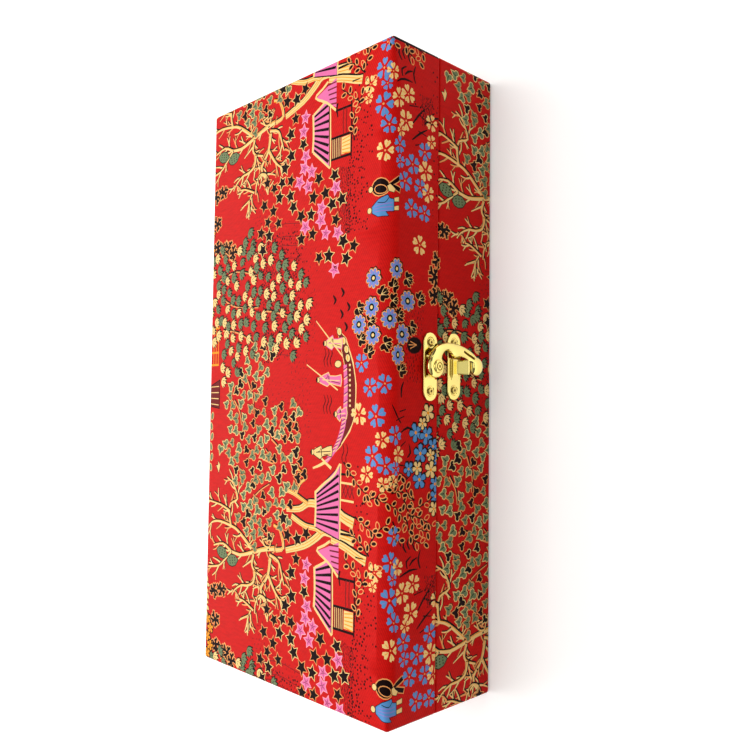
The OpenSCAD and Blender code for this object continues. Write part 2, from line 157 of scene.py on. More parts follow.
def noise(tree, place, scale, detail):
    """Noise with one scale, or with a scale for each axis."""
    if not isinstance(scale, float):
        place = add(tree, "ShaderNodeMapping", {"Vector": place, "Scale": scale}).outputs[0]
        scale = 1.0
    made = add(tree, "ShaderNodeTexNoise", {"Vector": place, "Scale": scale, "Detail": detail})
    return made.outputs["Fac"]


def ramp(tree, factor, *stops):
    """A colour ramp: (place, hex colour) for its two ends, and then for any stop between them."""
    made = add(tree, "ShaderNodeValToRGB", {"Fac": factor})
    for k, (place, colour) in enumerate(stops):
        element = made.color_ramp.elements[k] if k < 2 else made.color_ramp.elements.new(place)
        element.position = place
        element.color = linear(colour)
    return made.outputs[0]


def relief(tree, height, strength, deep, over=None):
    """The normal of a surface with this relief, which may lie over another relief."""
    inputs = {"Height": height, "Strength": strength, "Distance": deep * MM}
    if over is not None:
        inputs["Normal"] = over
    return add(tree, "ShaderNodeBump", inputs).outputs[0]


def new_object(name, mesh):
    made = bpy.data.objects.new(name, mesh)
    bpy.context.scene.collection.objects.link(made)
    return made


def evaluated_mesh(source):
    """A plain mesh of an object with its modifiers run."""
    bpy.context.view_layer.update()
    graph = bpy.context.evaluated_depsgraph_get()
    return bpy.data.meshes.new_from_object(source.evaluated_get(graph))


def modified_mesh(mesh, *rows):
    """The plain mesh that modifiers make of a mesh: (kind, settings) for each, in order."""
    work = new_object("work", mesh)
    for kind, settings in rows:
        modifier = work.modifiers.new(kind.lower(), kind)
        for name, value in settings.items():
            setattr(modifier, name, value)
    made = evaluated_mesh(work)
    bpy.data.objects.remove(work)
    return made


def mesh_of(bm, name, unit=1.0):
    """The mesh of what was built in bm, whose unit has this length in metres."""
    bmesh.ops.scale(bm, vec=(unit, unit, unit), verts=bm.verts)
    mesh = bpy.data.meshes.new(name)
    bm.to_mesh(mesh)
    bm.free()
    return mesh


def shade_smooth(mesh):
    mesh.polygons.foreach_set("use_smooth", [True] * len(mesh.polygons))


# Yarns of the brocade

YARNS = {
    "ground": "#D2100A",
    "black": "#180808",
    "gold": "#F2CA82",
    "peach": "#EC9C5A",
    "green": "#6B7B55",
    "pink": "#E06CA0",
    "rose": "#F2A6B8",
    "blue": "#558CC2",
    "violet": "#8A78BE",
    "orange": "#F2961A",
    "wine": "#6E0E0C",
}
YARN_NAMES = list(YARNS)


def weave_bump(tree, across, along, strength):
    """Threads a little coarser than the real ones, so that they show: floats with twill breaks."""
    cloth = add(tree, "ShaderNodeUVMap", uv_map="Cloth").outputs[0]

    def bands(turn, wide, **settings):
        way = add(tree, "ShaderNodeMapping", {"Vector": cloth, "Rotation": (0, 0, math.radians(turn))})
        return add(
            tree, "ShaderNodeTexWave", {"Vector": way.outputs[0], "Scale": BAND / wide, **settings},
            wave_type="BANDS", bands_direction="X", wave_profile="SIN",
        ).outputs["Fac"]

    threads = bands(along, across, Distortion=0.4, Detail=1.0)
    breaks = bands(along + 62, across * 1.9, Distortion=0.2)
    height = mixed(tree, 0.45, threads, breaks)
    return cloth, height, relief(tree, height, strength, 0.06)


def ground_material():
    """Red warp-faced satin: long warp floats along the cloth give a soft gloss and a fine diagonal line."""
    material, tree, shader = new_material("red_satin_weave")
    cloth, height, bump = weave_bump(tree, 0.55, 0, 0.55)
    slubs = noise(tree, cloth, (0.9, 0.16, 1.0), 3.0)
    red = ramp(tree, mixed(tree, 0.5, height, slubs), (0.3, "#AE0A07"), (0.6, YARNS["ground"]))
    set_shader(tree, shader, Base_Color=red, Normal=bump, Roughness=0.5, Specular_IOR_Level=0.05)
    return material


def yarn_material(name):
    """Weft floats of one dyed yarn, across the cloth, a little glossier than the ground."""
    material, tree, shader = new_material(name + "_weft_floats")
    bump = weave_bump(tree, 0.6, 90, 0.7)[2]
    shine = 0.03 if name == "black" else 0.06
    set_shader(
        tree, shader, Base_Color=linear(YARNS[name]), Normal=bump, Roughness=0.5, Specular_IOR_Level=shine
    )
    return material


# Drawing on the loom: outlines in millimetres, x to the right and v down the cloth


def turned(shape, at, size=1.0, turn=0.0):
    """A shape drawn with y up round its own middle, placed on the cloth."""
    c, s = math.cos(math.radians(turn)), math.sin(math.radians(turn))
    return [(at[0] + size * (x * c - y * s), at[1] - size * (x * s + y * c)) for x, y in shape]


def grown(outline, by):
    """The outline moved outwards by so many millimetres."""
    n = len(outline)
    side = 1 if area_of(outline) > 0 else -1
    moved = []
    for k, at in enumerate(outline):
        before, after = outline[k - 1], outline[(k + 1) % n]
        first = Vector((at[0] - before[0], at[1] - before[1]))
        second = Vector((after[0] - at[0], after[1] - at[1]))
        if first.length < 1e-6 or second.length < 1e-6:
            moved.append(at)
            continue
        first.normalize()
        second.normalize()
        out = Vector((first.y + second.y, -first.x - second.x)) * side
        if out.length < 1e-6:
            out = Vector((first.y, -first.x)) * side
        out.normalize()
        reach = by / max(out.dot(Vector((first.y, -first.x)) * side), 0.55)
        moved.append((at[0] + out.x * reach, at[1] + out.y * reach))
    return moved


def smooth_line(points, steps=3):
    """A rounded line through the points, each with any number of values."""
    if len(points) < 3:
        return [tuple(p) for p in points]
    line, last = [], len(points) - 1
    for k in range(last):
        a, b = points[max(k - 1, 0)], points[k]
        c, d = points[k + 1], points[min(k + 2, last)]
        for j in range(steps):
            t = j / steps
            line.append(tuple(
                0.5 * (2 * q + (r - p) * t + (2 * p - 5 * q + 4 * r - s) * t * t
                       + (3 * q - p - 3 * r + s) * t**3)
                for p, q, r, s in zip(a, b, c, d)
            ))
    line.append(tuple(points[last]))
    return line


def stroke(points, start, end, middle=None, steps=3):
    """The outline of a line of the given widths at its start, middle and end, starting at its blunt end."""
    middle = (start + end) / 2 if middle is None else middle
    last = len(points) - 1
    widths = [
        start + (middle - start) * 2 * k / last if 2 * k <= last
        else middle + (end - middle) * (2 * k / last - 1)
        for k in range(last + 1)
    ]
    line = smooth_line([(*p, w) for p, w in zip(points, widths)], steps)
    left, right = [], []
    for k, (x, v, w) in enumerate(line):
        before, after = line[max(k - 1, 0)], line[min(k + 1, len(line) - 1)]
        way = Vector((after[0] - before[0], after[1] - before[1])).normalized()
        left.append((x - way.y * w / 2, v + way.x * w / 2))
        right.append((x + way.y * w / 2, v - way.x * w / 2))
    return [left[0], *right, *reversed(left[1:])]


def ring_of(n, rx, ry=None, phase=0.0):
    ry = rx if ry is None else ry
    return [
        (rx * math.cos(math.tau * (k + phase) / n), ry * math.sin(math.tau * (k + phase) / n))
        for k in range(n)
    ]


def polar(at, way, far):
    """The place that lies so far from another, in this direction."""
    return at[0] + far * math.cos(way), at[1] + far * math.sin(way)


def wheel(petals, points):
    """A round flower's outline: (share of its angle, reach) for each point of a petal."""
    spots = [(math.tau * (k + share) / petals, reach) for k in range(petals) for share, reach in points]
    return [polar((0, 0), way, 0.5 * reach) for way, reach in spots]


class Loom:
    """Keeps outlines in the order in which they are woven: a later one lies over an earlier one."""

    def __init__(self):
        self.shapes = []

    def fill(self, yarn, outline):
        self.shapes.append((YARN_NAMES.index(yarn), [(float(x), float(v)) for x, v in outline]))

    def edged(self, yarn, edge, outline, width=0.45):
        self.fill(edge, grown(outline, width))
        self.fill(yarn, outline)

    def line(self, yarn, points, start, end, middle=None, steps=3):
        self.fill(yarn, stroke(points, start, end, middle, steps))


# Flat meshes of outlines, and the Geometry Nodes that scatter and repeat them


def outlines_mesh(name, shapes):
    mesh = bpy.data.meshes.new(name)
    points, faces = [], []
    for _, outline in shapes:
        faces.append(list(range(len(points), len(points) + len(outline))))
        points += [(x, v, 0.0) for x, v in outline]
    mesh.from_pydata(points, [], faces)
    mesh.attributes.new("yarn", "INT", "FACE").data.foreach_set("value", [s[0] for s in shapes])
    return mesh


def outlines_of(mesh):
    yarns = np.zeros(len(mesh.polygons), np.int32)
    mesh.attributes["yarn"].data.foreach_get("value", yarns)
    at = np.zeros(len(mesh.vertices) * 3, np.float32)
    mesh.vertices.foreach_get("co", at)
    at = at.reshape(-1, 3)[:, :2].astype(float)
    return [(int(y), [tuple(at[i]) for i in p.vertices]) for y, p in zip(yarns, mesh.polygons)]


def new_tree(name, inputs):
    """A Geometry Nodes group with a mesh in, a mesh out and these named inputs."""
    tree = bpy.data.node_groups.new(name, "GeometryNodeTree")
    tree.interface.new_socket("Mesh", in_out="INPUT", socket_type="NodeSocketGeometry")
    for label, kind in inputs:
        tree.interface.new_socket(label, in_out="INPUT", socket_type="NodeSocket" + kind)
    tree.interface.new_socket("Mesh", in_out="OUTPUT", socket_type="NodeSocketGeometry")
    return tree, add(tree, "NodeGroupInput").outputs


def end_tree(tree, instances, material):
    """Every tree ends in Realize Instances and Set Material."""
    real = add(tree, "GeometryNodeRealizeInstances", {0: instances})
    worn = add(tree, "GeometryNodeSetMaterial", {"Geometry": real.outputs[0], "Material": material})
    add(tree, "NodeGroupOutput", {0: worn.outputs[0]})


def run_tree(tree, mesh, **values):
    """The plain mesh that a tree makes of a mesh. In a name, _ stands for a space."""
    base = new_object("loom_work", mesh)
    modifier = base.modifiers.new("nodes", "NODES")
    modifier.node_group = tree
    for item in tree.interface.items_tree:
        key = item.name.replace(" ", "_")
        if item.in_out == "INPUT" and key in values:
            modifier[item.identifier] = values[key]
    result = evaluated_mesh(base)
    bpy.data.objects.remove(base)
    return result


def scatter_tree(material):
    """Scatters the pieces of a collection over a flat region, none nearer to the next than Spacing."""
    tree, given = new_tree("scatter_on_cloth", [
        ("Pieces", "Collection"), ("Spacing", "Float"), ("Seed", "Int"),
        ("Turn", "Float"), ("Smallest", "Float"), ("Largest", "Float"),
    ])
    spots = add(
        tree, "GeometryNodeDistributePointsOnFaces",
        {"Mesh": given["Mesh"], "Distance Min": given["Spacing"], "Density Max": 4.0,
         "Seed": given["Seed"]},
        distribute_method="POISSON",
    )
    density = add(tree, "GeometryNodeInputNamedAttribute", {"Name": "density"}, data_type="FLOAT")
    tree.links.new(density.outputs[0], spots.inputs["Density Factor"])
    pieces = add(
        tree, "GeometryNodeCollectionInfo",
        {"Collection": given["Pieces"], "Separate Children": True, "Reset Children": True},
    )
    pick = add(
        tree, "FunctionNodeRandomValue", {"Min": 0, "Max": 99, "Seed": given["Seed"]}, data_type="INT"
    )

    def between(low, high):
        limits = {2: low, 3: high, "Seed": given["Seed"]}
        return add(tree, "FunctionNodeRandomValue", limits, data_type="FLOAT").outputs[1]

    angle = between(worked(tree, "MULTIPLY", given["Turn"], -1.0), given["Turn"])
    turn = add(tree, "ShaderNodeCombineXYZ", {"Z": angle})
    size = between(given["Smallest"], given["Largest"])
    placed = add(
        tree, "GeometryNodeInstanceOnPoints",
        {"Points": spots.outputs["Points"], "Instance": pieces.outputs[0], "Pick Instance": True,
         "Instance Index": pick.outputs[2], "Rotation": turn.outputs[0], "Scale": size},
    )
    end_tree(tree, placed.outputs[0], material)
    return tree


def repeat_tree(material):
    """Repeats one woven cell across and down the cloth, as the loom's harness does."""
    tree, given = new_tree("loom_repeat", [
        ("Repeat Across", "Vector"), ("Repeat Down", "Vector"),
        ("Columns", "Int"), ("Rows", "Int"), ("First Column", "Int"), ("First Row", "Int"),
    ])
    total = worked(tree, "MULTIPLY", given["Columns"], given["Rows"])
    index = add(tree, "GeometryNodeInputIndex").outputs[0]
    column = worked(tree, "MODULO", index, given["Columns"])
    row = worked(tree, "FLOOR", worked(tree, "DIVIDE", index, given["Columns"]))
    moves = [
        add(
            tree, "ShaderNodeVectorMath", {0: repeat, "Scale": worked(tree, "ADD", count, first)},
            operation="SCALE",
        ).outputs[0]
        for count, first, repeat in (
            (column, given["First Column"], given["Repeat Across"]),
            (row, given["First Row"], given["Repeat Down"]),
        )
    ]
    spot = add(tree, "ShaderNodeVectorMath", {0: moves[0], 1: moves[1]}, operation="ADD").outputs[0]
    spots = add(tree, "GeometryNodePoints", {"Count": total, "Position": spot})
    placed = add(
        tree, "GeometryNodeInstanceOnPoints", {"Points": spots.outputs[0], "Instance": given["Mesh"]}
    )
    end_tree(tree, placed.outputs[0], material)
    return tree


# Motifs of the brocade


def both_sides(half, foot):
    """An outline from its right half, which starts at the top, and its lowest point."""
    return half + [foot] + [(-x, y) for x, y in reversed(half[1:])]


def lobed(lobes, dip, width=1.0):
    """A leaf or star outline: (angle from the top, reach) for each point, with a dip after each."""
    points = []
    for k, (angle, reach) in enumerate(lobes):
        after = lobes[(k + 1) % len(lobes)][0] + (360 if k + 1 == len(lobes) else 0)
        for a, r in ((angle, reach), ((angle + after) / 2, dip)):
            points.append((width * r * math.sin(math.radians(a)), r * math.cos(math.radians(a))))
    return points


STAR = lobed([(72 * k, 0.52) for k in range(5)], 0.25)
IVY = both_sides(
    [(0.0, 0.58), (0.14, 0.32), (0.22, 0.12), (0.45, 0.05), (0.54, -0.18), (0.42, -0.4), (0.2, -0.42)],
    (0.0, -0.26),
)
FAN = both_sides(
    [(0.0, 0.4), (0.24, 0.36), (0.42, 0.18), (0.56, -0.14), (0.33, -0.06), (0.38, -0.38), (0.17, -0.17)],
    (0.0, -0.5),
)
MAPLE = both_sides(
    [(0.0, 0.2), (0.14, 0.38), (0.36, 0.44), (0.52, 0.28), (0.38, 0.1), (0.5, -0.08), (0.44, -0.32),
     (0.25, -0.16), (0.18, -0.42), (0.07, -0.3)],
    (0.0, -0.54),
)
OVAL = ring_of(8, 0.5, 0.27)
PETAL = [(0.0, 0.13), (0.13, 0.28), (0.19, 0.42), (0.1, 0.52), (0.0, 0.45), (-0.1, 0.52), (-0.19, 0.42),
         (-0.13, 0.28)]


def draw_ivy(loom, at, rng, fill, edge, size=4.7):
    turn = rng.gauss(0, 28)
    size *= rng.uniform(0.85, 1.12)
    loom.fill("black", grown(turned(IVY, (at[0] + 0.4, at[1] + 0.3), size, turn), 0.35))
    loom.edged(fill, edge, turned(IVY, at, size, turn), 0.42)
    if fill != "black":
        loom.line("black", turned([(0, 0.3), (0, -0.2)], at, size, turn), 0.2, 0.55, steps=1)


def draw_fan(loom, at, rng, fill, size=5.4):
    turn = rng.gauss(0, 20)
    size *= rng.uniform(0.88, 1.1)
    loom.fill("black", grown(turned(FAN, (at[0] + 0.35, at[1] + 0.35), size, turn), 0.4))
    loom.fill(fill, turned(FAN, at, size, turn))
    for side in (-1, 1):
        loom.line("black", turned([(0.06 * side, 0.2), (0.22 * side, -0.14)], at, size, turn), 0.34, 0.14)


def draw_star(loom, at, rng, fill, size=6.9):
    turn = rng.uniform(0, 72)
    size *= rng.uniform(0.9, 1.1)
    edge = rng.choice(["gold", "peach"]) if fill == "black" else "rose"
    loom.edged(fill, edge, turned(STAR, at, size, turn), 0.38)
    if fill != "black":
        for k in range(5):
            vein = turned([(0, 0.04), (0, 0.3)], at, size, turn + 72 * k)
            loom.line("wine", vein, 0.4, 0.1, steps=1)


def draw_coral(loom, at, rng, size=9.0, turn=None):
    """Black forked coral with blunt ends and a pale edge."""
    turn = rng.uniform(0, 72) if turn is None else turn
    arms = []
    for k in range(5):
        way = math.radians(turn + 72 * k + rng.uniform(-14, 14))
        reach = size * rng.uniform(0.42, 0.6)
        knee = polar(at, way, 0.5 * reach)
        arms += [[at, knee, polar(at, way + 0.35, reach)], [knee, polar(knee, way - 0.8, 0.4 * reach)]]
    for arm in arms:
        end = Vector(arm[-1]) + (Vector(arm[-1]) - Vector(arm[-2])).normalized() * 0.45
        loom.line("peach", arm[:-1] + [tuple(end)], 2.4, 2.2, steps=2)
    for arm in arms:
        loom.line("black", arm, 1.5, 1.4, steps=2)


def draw_daisy(loom, at, rng, size=8.5):
    """Round flower of many petals, alternately blue and violet, with a dark ring and a pale middle."""
    petals, turn = 9, rng.uniform(0, 40)
    outline = wheel(petals, [(0.0, 0.66), (0.24, 0.96), (0.5, 1.04), (0.76, 0.96)])
    loom.fill("black", grown(turned(outline, (at[0] + 0.25, at[1] + 0.2), size, turn), 0.75))
    loom.edged("blue", "peach", turned(outline, at, size, turn), 0.42)
    for k in range(petals):
        inner = [polar((0, 0), math.tau * (k + 0.5) / petals, reach) for reach in (0.22, 0.42)]
        loom.line("violet", turned(inner, at, size, turn), 0.7, 1.3, steps=1)
    loom.fill("black", turned(ring_of(10, 0.2), at, size, turn))
    loom.fill("gold", turned(ring_of(8, 0.1), at, size, turn))


def draw_blossom(loom, at, rng, fill, size=9.0):
    """Five loose heart-shaped petals round a small warm middle."""
    turn = rng.uniform(0, 72)
    for k in range(5):
        loom.fill(fill, turned(PETAL, at, 0.92 * size * rng.uniform(0.9, 1.05), turn + 72 * k))
        vein = turned([(0, 0.16), (0.02, 0.36)], at, size, turn + 72 * k)
        loom.line("violet" if fill == "blue" else "orange", vein, 0.2, 0.45, steps=1)
    loom.fill("peach", turned(ring_of(7, 0.05), at, size, turn))


def draw_small_flower(loom, at, rng, fill, size=7.2):
    turn = rng.uniform(0, 72)
    outline = wheel(5, [(0.0, 0.4), (0.22, 0.88), (0.5, 1.0), (0.78, 0.88)])
    loom.fill("black", grown(turned(outline, (at[0] + 0.2, at[1] + 0.2), size, turn), 0.6))
    loom.fill(fill, turned(outline, at, size, turn))
    for k in range(5):
        vein = [polar((0, 0), math.tau * k / 5, reach) for reach in (0.12, 0.22)]
        loom.line("black", turned(vein, at, size, turn), 0.3, 0.45, steps=1)
    loom.fill("orange", turned(ring_of(6, 0.1), at, size, turn))


def draw_limb(loom, points, start, end, yarn="gold"):
    """A limb of the old tree: a pale stroke with a dark line, wider below and to the right."""
    loom.line("black", [(x + 0.42, v + 0.36) for x, v in points], start + 0.8, end + 0.6)
    loom.line(yarn, points, start, end)


def draw_twigs(loom, points, rng, every):
    """Bent twigs to both sides along a limb, some of them forked."""
    line = smooth_line(points, 8)
    wide, walked, side, twigs = 1.12, 0.6 * every, 1, []
    for a, b in zip(line, line[1:]):
        step = math.dist(a, b)
        walked += step
        if walked < every or step < 1e-6:
            continue
        walked, side = rng.uniform(-0.3, 0.3) * every, -side
        way = math.atan2(b[1] - a[1], b[0] - a[0]) + side * rng.uniform(0.5, 0.95)
        length = rng.uniform(4.5, 9.5)
        curl = side * rng.uniform(0.0, 0.6)
        bend = polar(a, way, 0.5 * length)
        twigs.append(([a, bend, polar(bend, way - curl, 0.5 * length)], wide, 0.5))
        if rng.random() < 0.55:
            twigs.append(([bend, polar(bend, way + 0.5 * side, 0.5 * length)], 0.8 * wide, 0.45))
    for twig, start, end in twigs:
        loom.line("black", [(x + 0.36, v + 0.3) for x, v in twig], start + 0.55, end + 0.45, steps=2)
    for twig, start, end in twigs:
        loom.line("gold" if rng.random() < 0.6 else "peach", twig, start, end, steps=2)


def crowded(rng, spots, gap, count):
    """More places among the given ones, none nearer than the gap to another."""
    added = []
    for _ in range(40 * count):
        near = rng.choice(spots)
        spot = polar(near, rng.uniform(0, math.tau), rng.uniform(gap, 1.35 * gap))
        if len(added) < count and all(math.dist(spot, other) >= gap for other in spots + added):
            added.append(spot)
    return added


def draw_tree(loom, rng):
    """The gnarled old tree of the upper left of the cell, and the trunks under it."""
    limbs = [
        ([(66.7, 61), (64.7, 50.6), (61.5, 39.7), (59.6, 31.4), (60.3, 23.7)], 3.6, 2.0),
        ([(60.3, 23.7), (55.5, 18), (51.3, 12.2), (49.4, 1.9)], 2.0, 1.2),
        ([(60.3, 23.7), (63.5, 16), (61.5, 7)], 2.2, 1.0),
        ([(61.5, 43.6), (56.4, 42.3), (53.2, 44.9), (51.3, 51.3)], 2.4, 1.2),
        ([(53, 45), (47.4, 43.6), (44.9, 38.5), (44.2, 33.3), (41, 27.6), (37.8, 25)], 2.4, 1.0),
        ([(61.5, 57.7), (52.6, 55.8), (46.2, 50.6), (41.7, 50.6), (37.8, 46.2), (32, 45.5)], 2.8, 1.1),
        ([(33.3, 44.2), (36.5, 35.9), (36.9, 31.4)], 1.6, 0.9),
        ([(33, 42), (28.2, 39.7), (22.4, 41)], 1.5, 0.8),
        ([(30, 40), (27, 33)], 1.2, 0.7),
        ([(52.6, 56.4), (47.4, 60.3), (44.2, 63.5), (41, 68)], 2.4, 1.1),
        ([(30, 56), (38, 56), (41.7, 50.6)], 1.5, 1.6),
        ([(36.5, 48), (40, 47), (42, 50), (40.5, 54.5), (37, 53)], 1.0, 1.0),
        ([(70, 51), (67, 53), (67, 57), (71, 57), (70, 51.5)], 1.1, 1.1),
        ([(64.1, 41.7), (69.2, 34), (72.4, 28.2), (73.7, 23), (75, 12.8), (73.7, 5), (69.2, 0)], 2.8, 1.2),
        ([(73.7, 23), (79, 21.5), (85.3, 22.4), (88.5, 28.8), (96, 24.4), (99, 18.6)], 2.2, 0.9),
        ([(81.4, 21.8), (84, 12.8), (85.3, 0)], 1.8, 1.0),
        ([(63, 57), (61, 64), (55, 67), (50, 69)], 2.2, 1.0),
        ([(66, 40), (70, 44)], 1.4, 0.8),
    ]
    slim = 0.66
    for points, start, end in limbs:
        draw_twigs(loom, points, rng, 2.6 if start < 2.5 else 4.2)
    for points, start, end in limbs:
        draw_limb(loom, points, slim * start, slim * end)
        loom.line("orange", [(x + 0.2 * start, v) for x, v in points], 0.15 * start, 0.1, steps=2)
    for at in [(64, 46), (62.5, 37), (48.5, 53), (70.5, 31), (65.5, 56)]:
        loom.fill("black", turned(ring_of(7, 0.5, 0.32), at, 1.5, rng.uniform(40, 130)))
    trunks = [
        ([(67, 70), (71, 84), (76, 93), (79, 97), (79.5, 102), (77.5, 118.5)], 2.8, 5.0),
        ([(84, 74), (80.5, 84), (80, 92), (78.5, 96)], 2.6, 2.2),
        ([(87, 70), (88, 80), (91, 86), (91.5, 92), (91, 103), (87, 111), (85, 118)], 2.6, 4.8),
        ([(96, 71), (94.5, 77), (91, 86)], 2.0, 1.8),
        ([(95, 77), (100, 80), (103, 84), (107, 78)], 1.8, 1.0),
        ([(76, 103), (74, 112), (70.5, 122), (69.5, 126)], 2.8, 4.2),
        ([(66, 62), (68, 68), (76, 65), (78, 60)], 2.2, 1.0),
    ]
    for points, start, end in trunks:
        draw_limb(loom, points, start, end)
        for side in (-1, 1):
            loom.line("orange", [(x + side * 0.26 * start, v) for x, v in points], 0.3, 0.55)
    for x, v in [(79.5, 110), (91, 105), (70.5, 122)]:
        loom.line("black", [(x, v - 2.6), (x - 0.2, v + 2.6)], 0.8, 0.4)
    for at, turn in [((58.7, 15.1), 78), ((55.8, 24.9), 100)]:
        pod = [(-0.62, 0.0), (-0.3, 0.3), (0.1, 0.36), (0.42, 0.24), (0.6, 0.0), (0.42, -0.24),
               (0.1, -0.36), (-0.3, -0.3)]
        loom.edged("green", "black", turned(pod, at, 8.2, turn), 0.45)
        for k in range(9):
            dot = turned([(-0.28 + 0.27 * (k // 3), 0.16 * (k % 3 - 1))], at, 8.2, turn)[0]
            loom.fill("black", turned(ring_of(5, 0.42), dot))


def draw_house_front(loom):
    """House with a dark-barred pink roof, posts and a rail, and the one behind the trunks."""
    loom.edged("pink", "black", [(43.5, 92), (62, 92), (67, 103), (34, 103.7)], 0.6)
    for k in range(8):
        t = (k + 0.5) / 8
        top, foot = (43.5 + 18.5 * t, 92.6), (34.6 + 31.6 * t, 103.2)
        loom.line("black", [top, foot], 1.0, 1.5)
    loom.line("gold", [(43.5, 91.6), (52, 92.1), (62.2, 91.6)], 1.3, 1.3)
    loom.line("gold", [(43.5, 92), (37.6, 99), (33.2, 104.4)], 1.2, 1.0)
    loom.line("gold", [(62, 92), (65.2, 98.5), (68.4, 103.2)], 1.2, 1.0)
    loom.line("gold", [(33.6, 104.6), (50, 104.6), (68, 104)], 0.8, 0.8)
    loom.fill("wine", [(37, 105.4), (47, 105.4), (47, 112), (37, 112)])
    for k in range(5):
        loom.line("gold", [(37.4, 106.3 + 1.25 * k), (46.4, 106.3 + 1.25 * k)], 0.35, 0.35)
    loom.fill("gold", [(38, 112.4), (46, 112.4), (46, 118.4), (38, 118.4)])
    for k in range(5):
        loom.line("orange", [(38.6 + 1.5 * k, 112.8), (37.9 + 1.9 * k, 118.2)], 0.5, 0.6)
    for x, top in [(36.8, 105), (46.9, 105), (59.6, 108)]:
        loom.line("black", [(x, top), (x, 118.6)], 1.1, 1.2)
    for v in (113.6, 115.8):
        loom.line("wine", [(47.2, v), (53, v - 0.2), (59.6, v)], 0.6, 0.6)
    loom.line("black", [(35.4, 119), (48, 119.2), (61.6, 119)], 0.9, 0.9)

    loom.edged("pink", "black", [(81, 92), (97, 92), (110, 108.4), (77, 108.4)], 0.6)
    for k in range(8):
        t = (k + 0.5) / 8
        loom.line("black", [(82 + 15 * t, 92.6), (79 + 28.6 * t, 107.8)], 0.8, 1.3)
    loom.line("gold", [(96.6, 91.4), (101.5, 98), (105.4, 104.2), (111, 108.6)], 1.3, 1.0)
    loom.line("gold", [(80.8, 91.6), (89, 92), (97, 91.6)], 1.2, 1.2)
    loom.line("gold", [(76.8, 109), (92, 109), (111, 109.2)], 0.8, 0.8)
    loom.fill("pink", [(70, 94), (75.6, 108.4), (61.4, 108.4)])
    for k in range(5):
        loom.line("wine", [(64 + 2.4 * k, 104 - 0.6 * k), (63.4 + 2.6 * k, 108.4)], 0.7, 0.7)
    loom.line("gold", [(60, 108.2), (65.4, 101.6), (70, 93.3), (73, 98.4), (75.4, 102.4)], 1.2, 1.2)
    loom.line("black", [(56.4, 109.6), (60.4, 108.8), (63, 109.4)], 0.8, 1.3)
    for k in range(3):
        for side in (-1, 1):
            loom.line("wine", [(99 - 3 * side, 110 + 2.7 * k), (99 + 3 * side, 112.7 + 2.7 * k)], 0.5, 0.5)
    for x in (94.8, 102.6):
        loom.line("gold", [(x, 109.4), (x - 0.3, 118)], 0.9, 1.0)
    for x in (79.6, 106.4):
        loom.line("black", [(x, 109.4), (x, 118.4)], 1.1, 1.1)


def draw_figure(loom, head, foot, robe, edge="gold", lean=0.0):
    """A tiny standing or seated figure: a robe with a sash, and a plain round head."""
    x, v = head
    fx, fv = foot
    high = fv - v
    body = [
        (x - 0.9, v + 1.0), (x + 0.9, v + 1.0), (x + 2.0, v + 0.24 * high),
        (x + 3.1 + lean, v + 0.46 * high),
        (x + 1.5 + lean, v + 0.52 * high), (fx + 2.0, v + 0.8 * high), (fx + 2.5, fv), (fx, fv + 0.5),
        (fx - 2.3, fv), (fx - 1.7, v + 0.78 * high), (x - 1.5 + lean, v + 0.55 * high),
        (x - 3.0 + lean, v + 0.42 * high), (x - 1.9, v + 0.22 * high),
    ]
    loom.edged(robe, edge, body, 0.4)
    loom.line("black", [(x + 2.2 + lean, v + 0.44 * high), (x + 0.8, v + 0.4 * high),
                        (x, v + 0.24 * high)], 0.3, 0.3)
    loom.line("wine", [(x - 0.8, v + 0.6 * high), (fx - 1.2, fv - 0.4)], 0.35, 0.35)
    loom.line("black", [(x - 1.8 + lean, v + 0.5 * high), (x + 1.8 + lean, v + 0.48 * high)], 0.5, 0.5)
    loom.line(edge, [(x, v + 0.2 * high), (fx, fv - 0.6)], 0.4, 0.4)
    loom.edged("gold", "black", turned(ring_of(9, 0.5), head, 2.4), 0.3)
    cap = [(-0.5, 0.1), (-0.3, 0.5), (0.0, 0.62), (0.3, 0.5), (0.5, 0.1)]
    loom.fill("black", turned(cap, head, 2.6))


def draw_scholars(loom):
    """Two scholars seen from behind, in wide-sleeved robes."""
    blue_robe = [(6.6, 133.4), (9.4, 133.2), (12, 137), (13.6, 142), (12, 143), (11.4, 145.4), (6.4, 145.4),
                 (6.4, 141), (4.4, 142.4), (4.6, 137)]
    loom.edged("blue", "black", blue_robe, 0.35)
    for k in range(3):
        loom.line("violet", [(7 + 1.2 * k, 134.6), (6.6 + 1.7 * k, 144.6)], 0.35, 0.5)
    loom.line("black", [(11, 136.6), (10.4, 140.6), (12.4, 142.6)], 0.35, 0.35)
    for x in (7.6, 11.4):
        loom.edged("gold", "black", [(x - 0.9, 145.8), (x + 0.7, 145.8), (x + 1.2, 149), (x - 0.8, 149)],
                   0.25)
    loom.edged("gold", "black", turned(ring_of(9, 0.5), (8, 131.6), 2.6), 0.3)
    robe = turned(ring_of(14, 0.42, 0.54), (17.6, 138), 9.0, -8)
    loom.edged("black", "peach", robe, 0.5)
    loom.edged("black", "peach", turned(ring_of(12, 0.22, 0.42), (16.6, 138.2), 8.0, -12), 0.42)
    for foot in ((15.6, 150.4), (21, 149.8)):
        loom.line("peach", [(18, 143), (0.4 * 18 + 0.6 * foot[0], 147), foot], 2.2, 2.9, 2.8)
    for foot in ((15.6, 150), (21, 149.4)):
        loom.line("black", [(18, 143), (0.4 * 18 + 0.6 * foot[0], 147), foot], 1.2, 2.0, 1.9)
    loom.edged("gold", "black", [(15.4, 142.6), (17.6, 141.8), (18.4, 143.2), (16, 146.4), (14.6, 145.4)],
               0.3)
    loom.edged("gold", "black", turned(ring_of(9, 0.5), (17.4, 132.2), 2.7), 0.3)


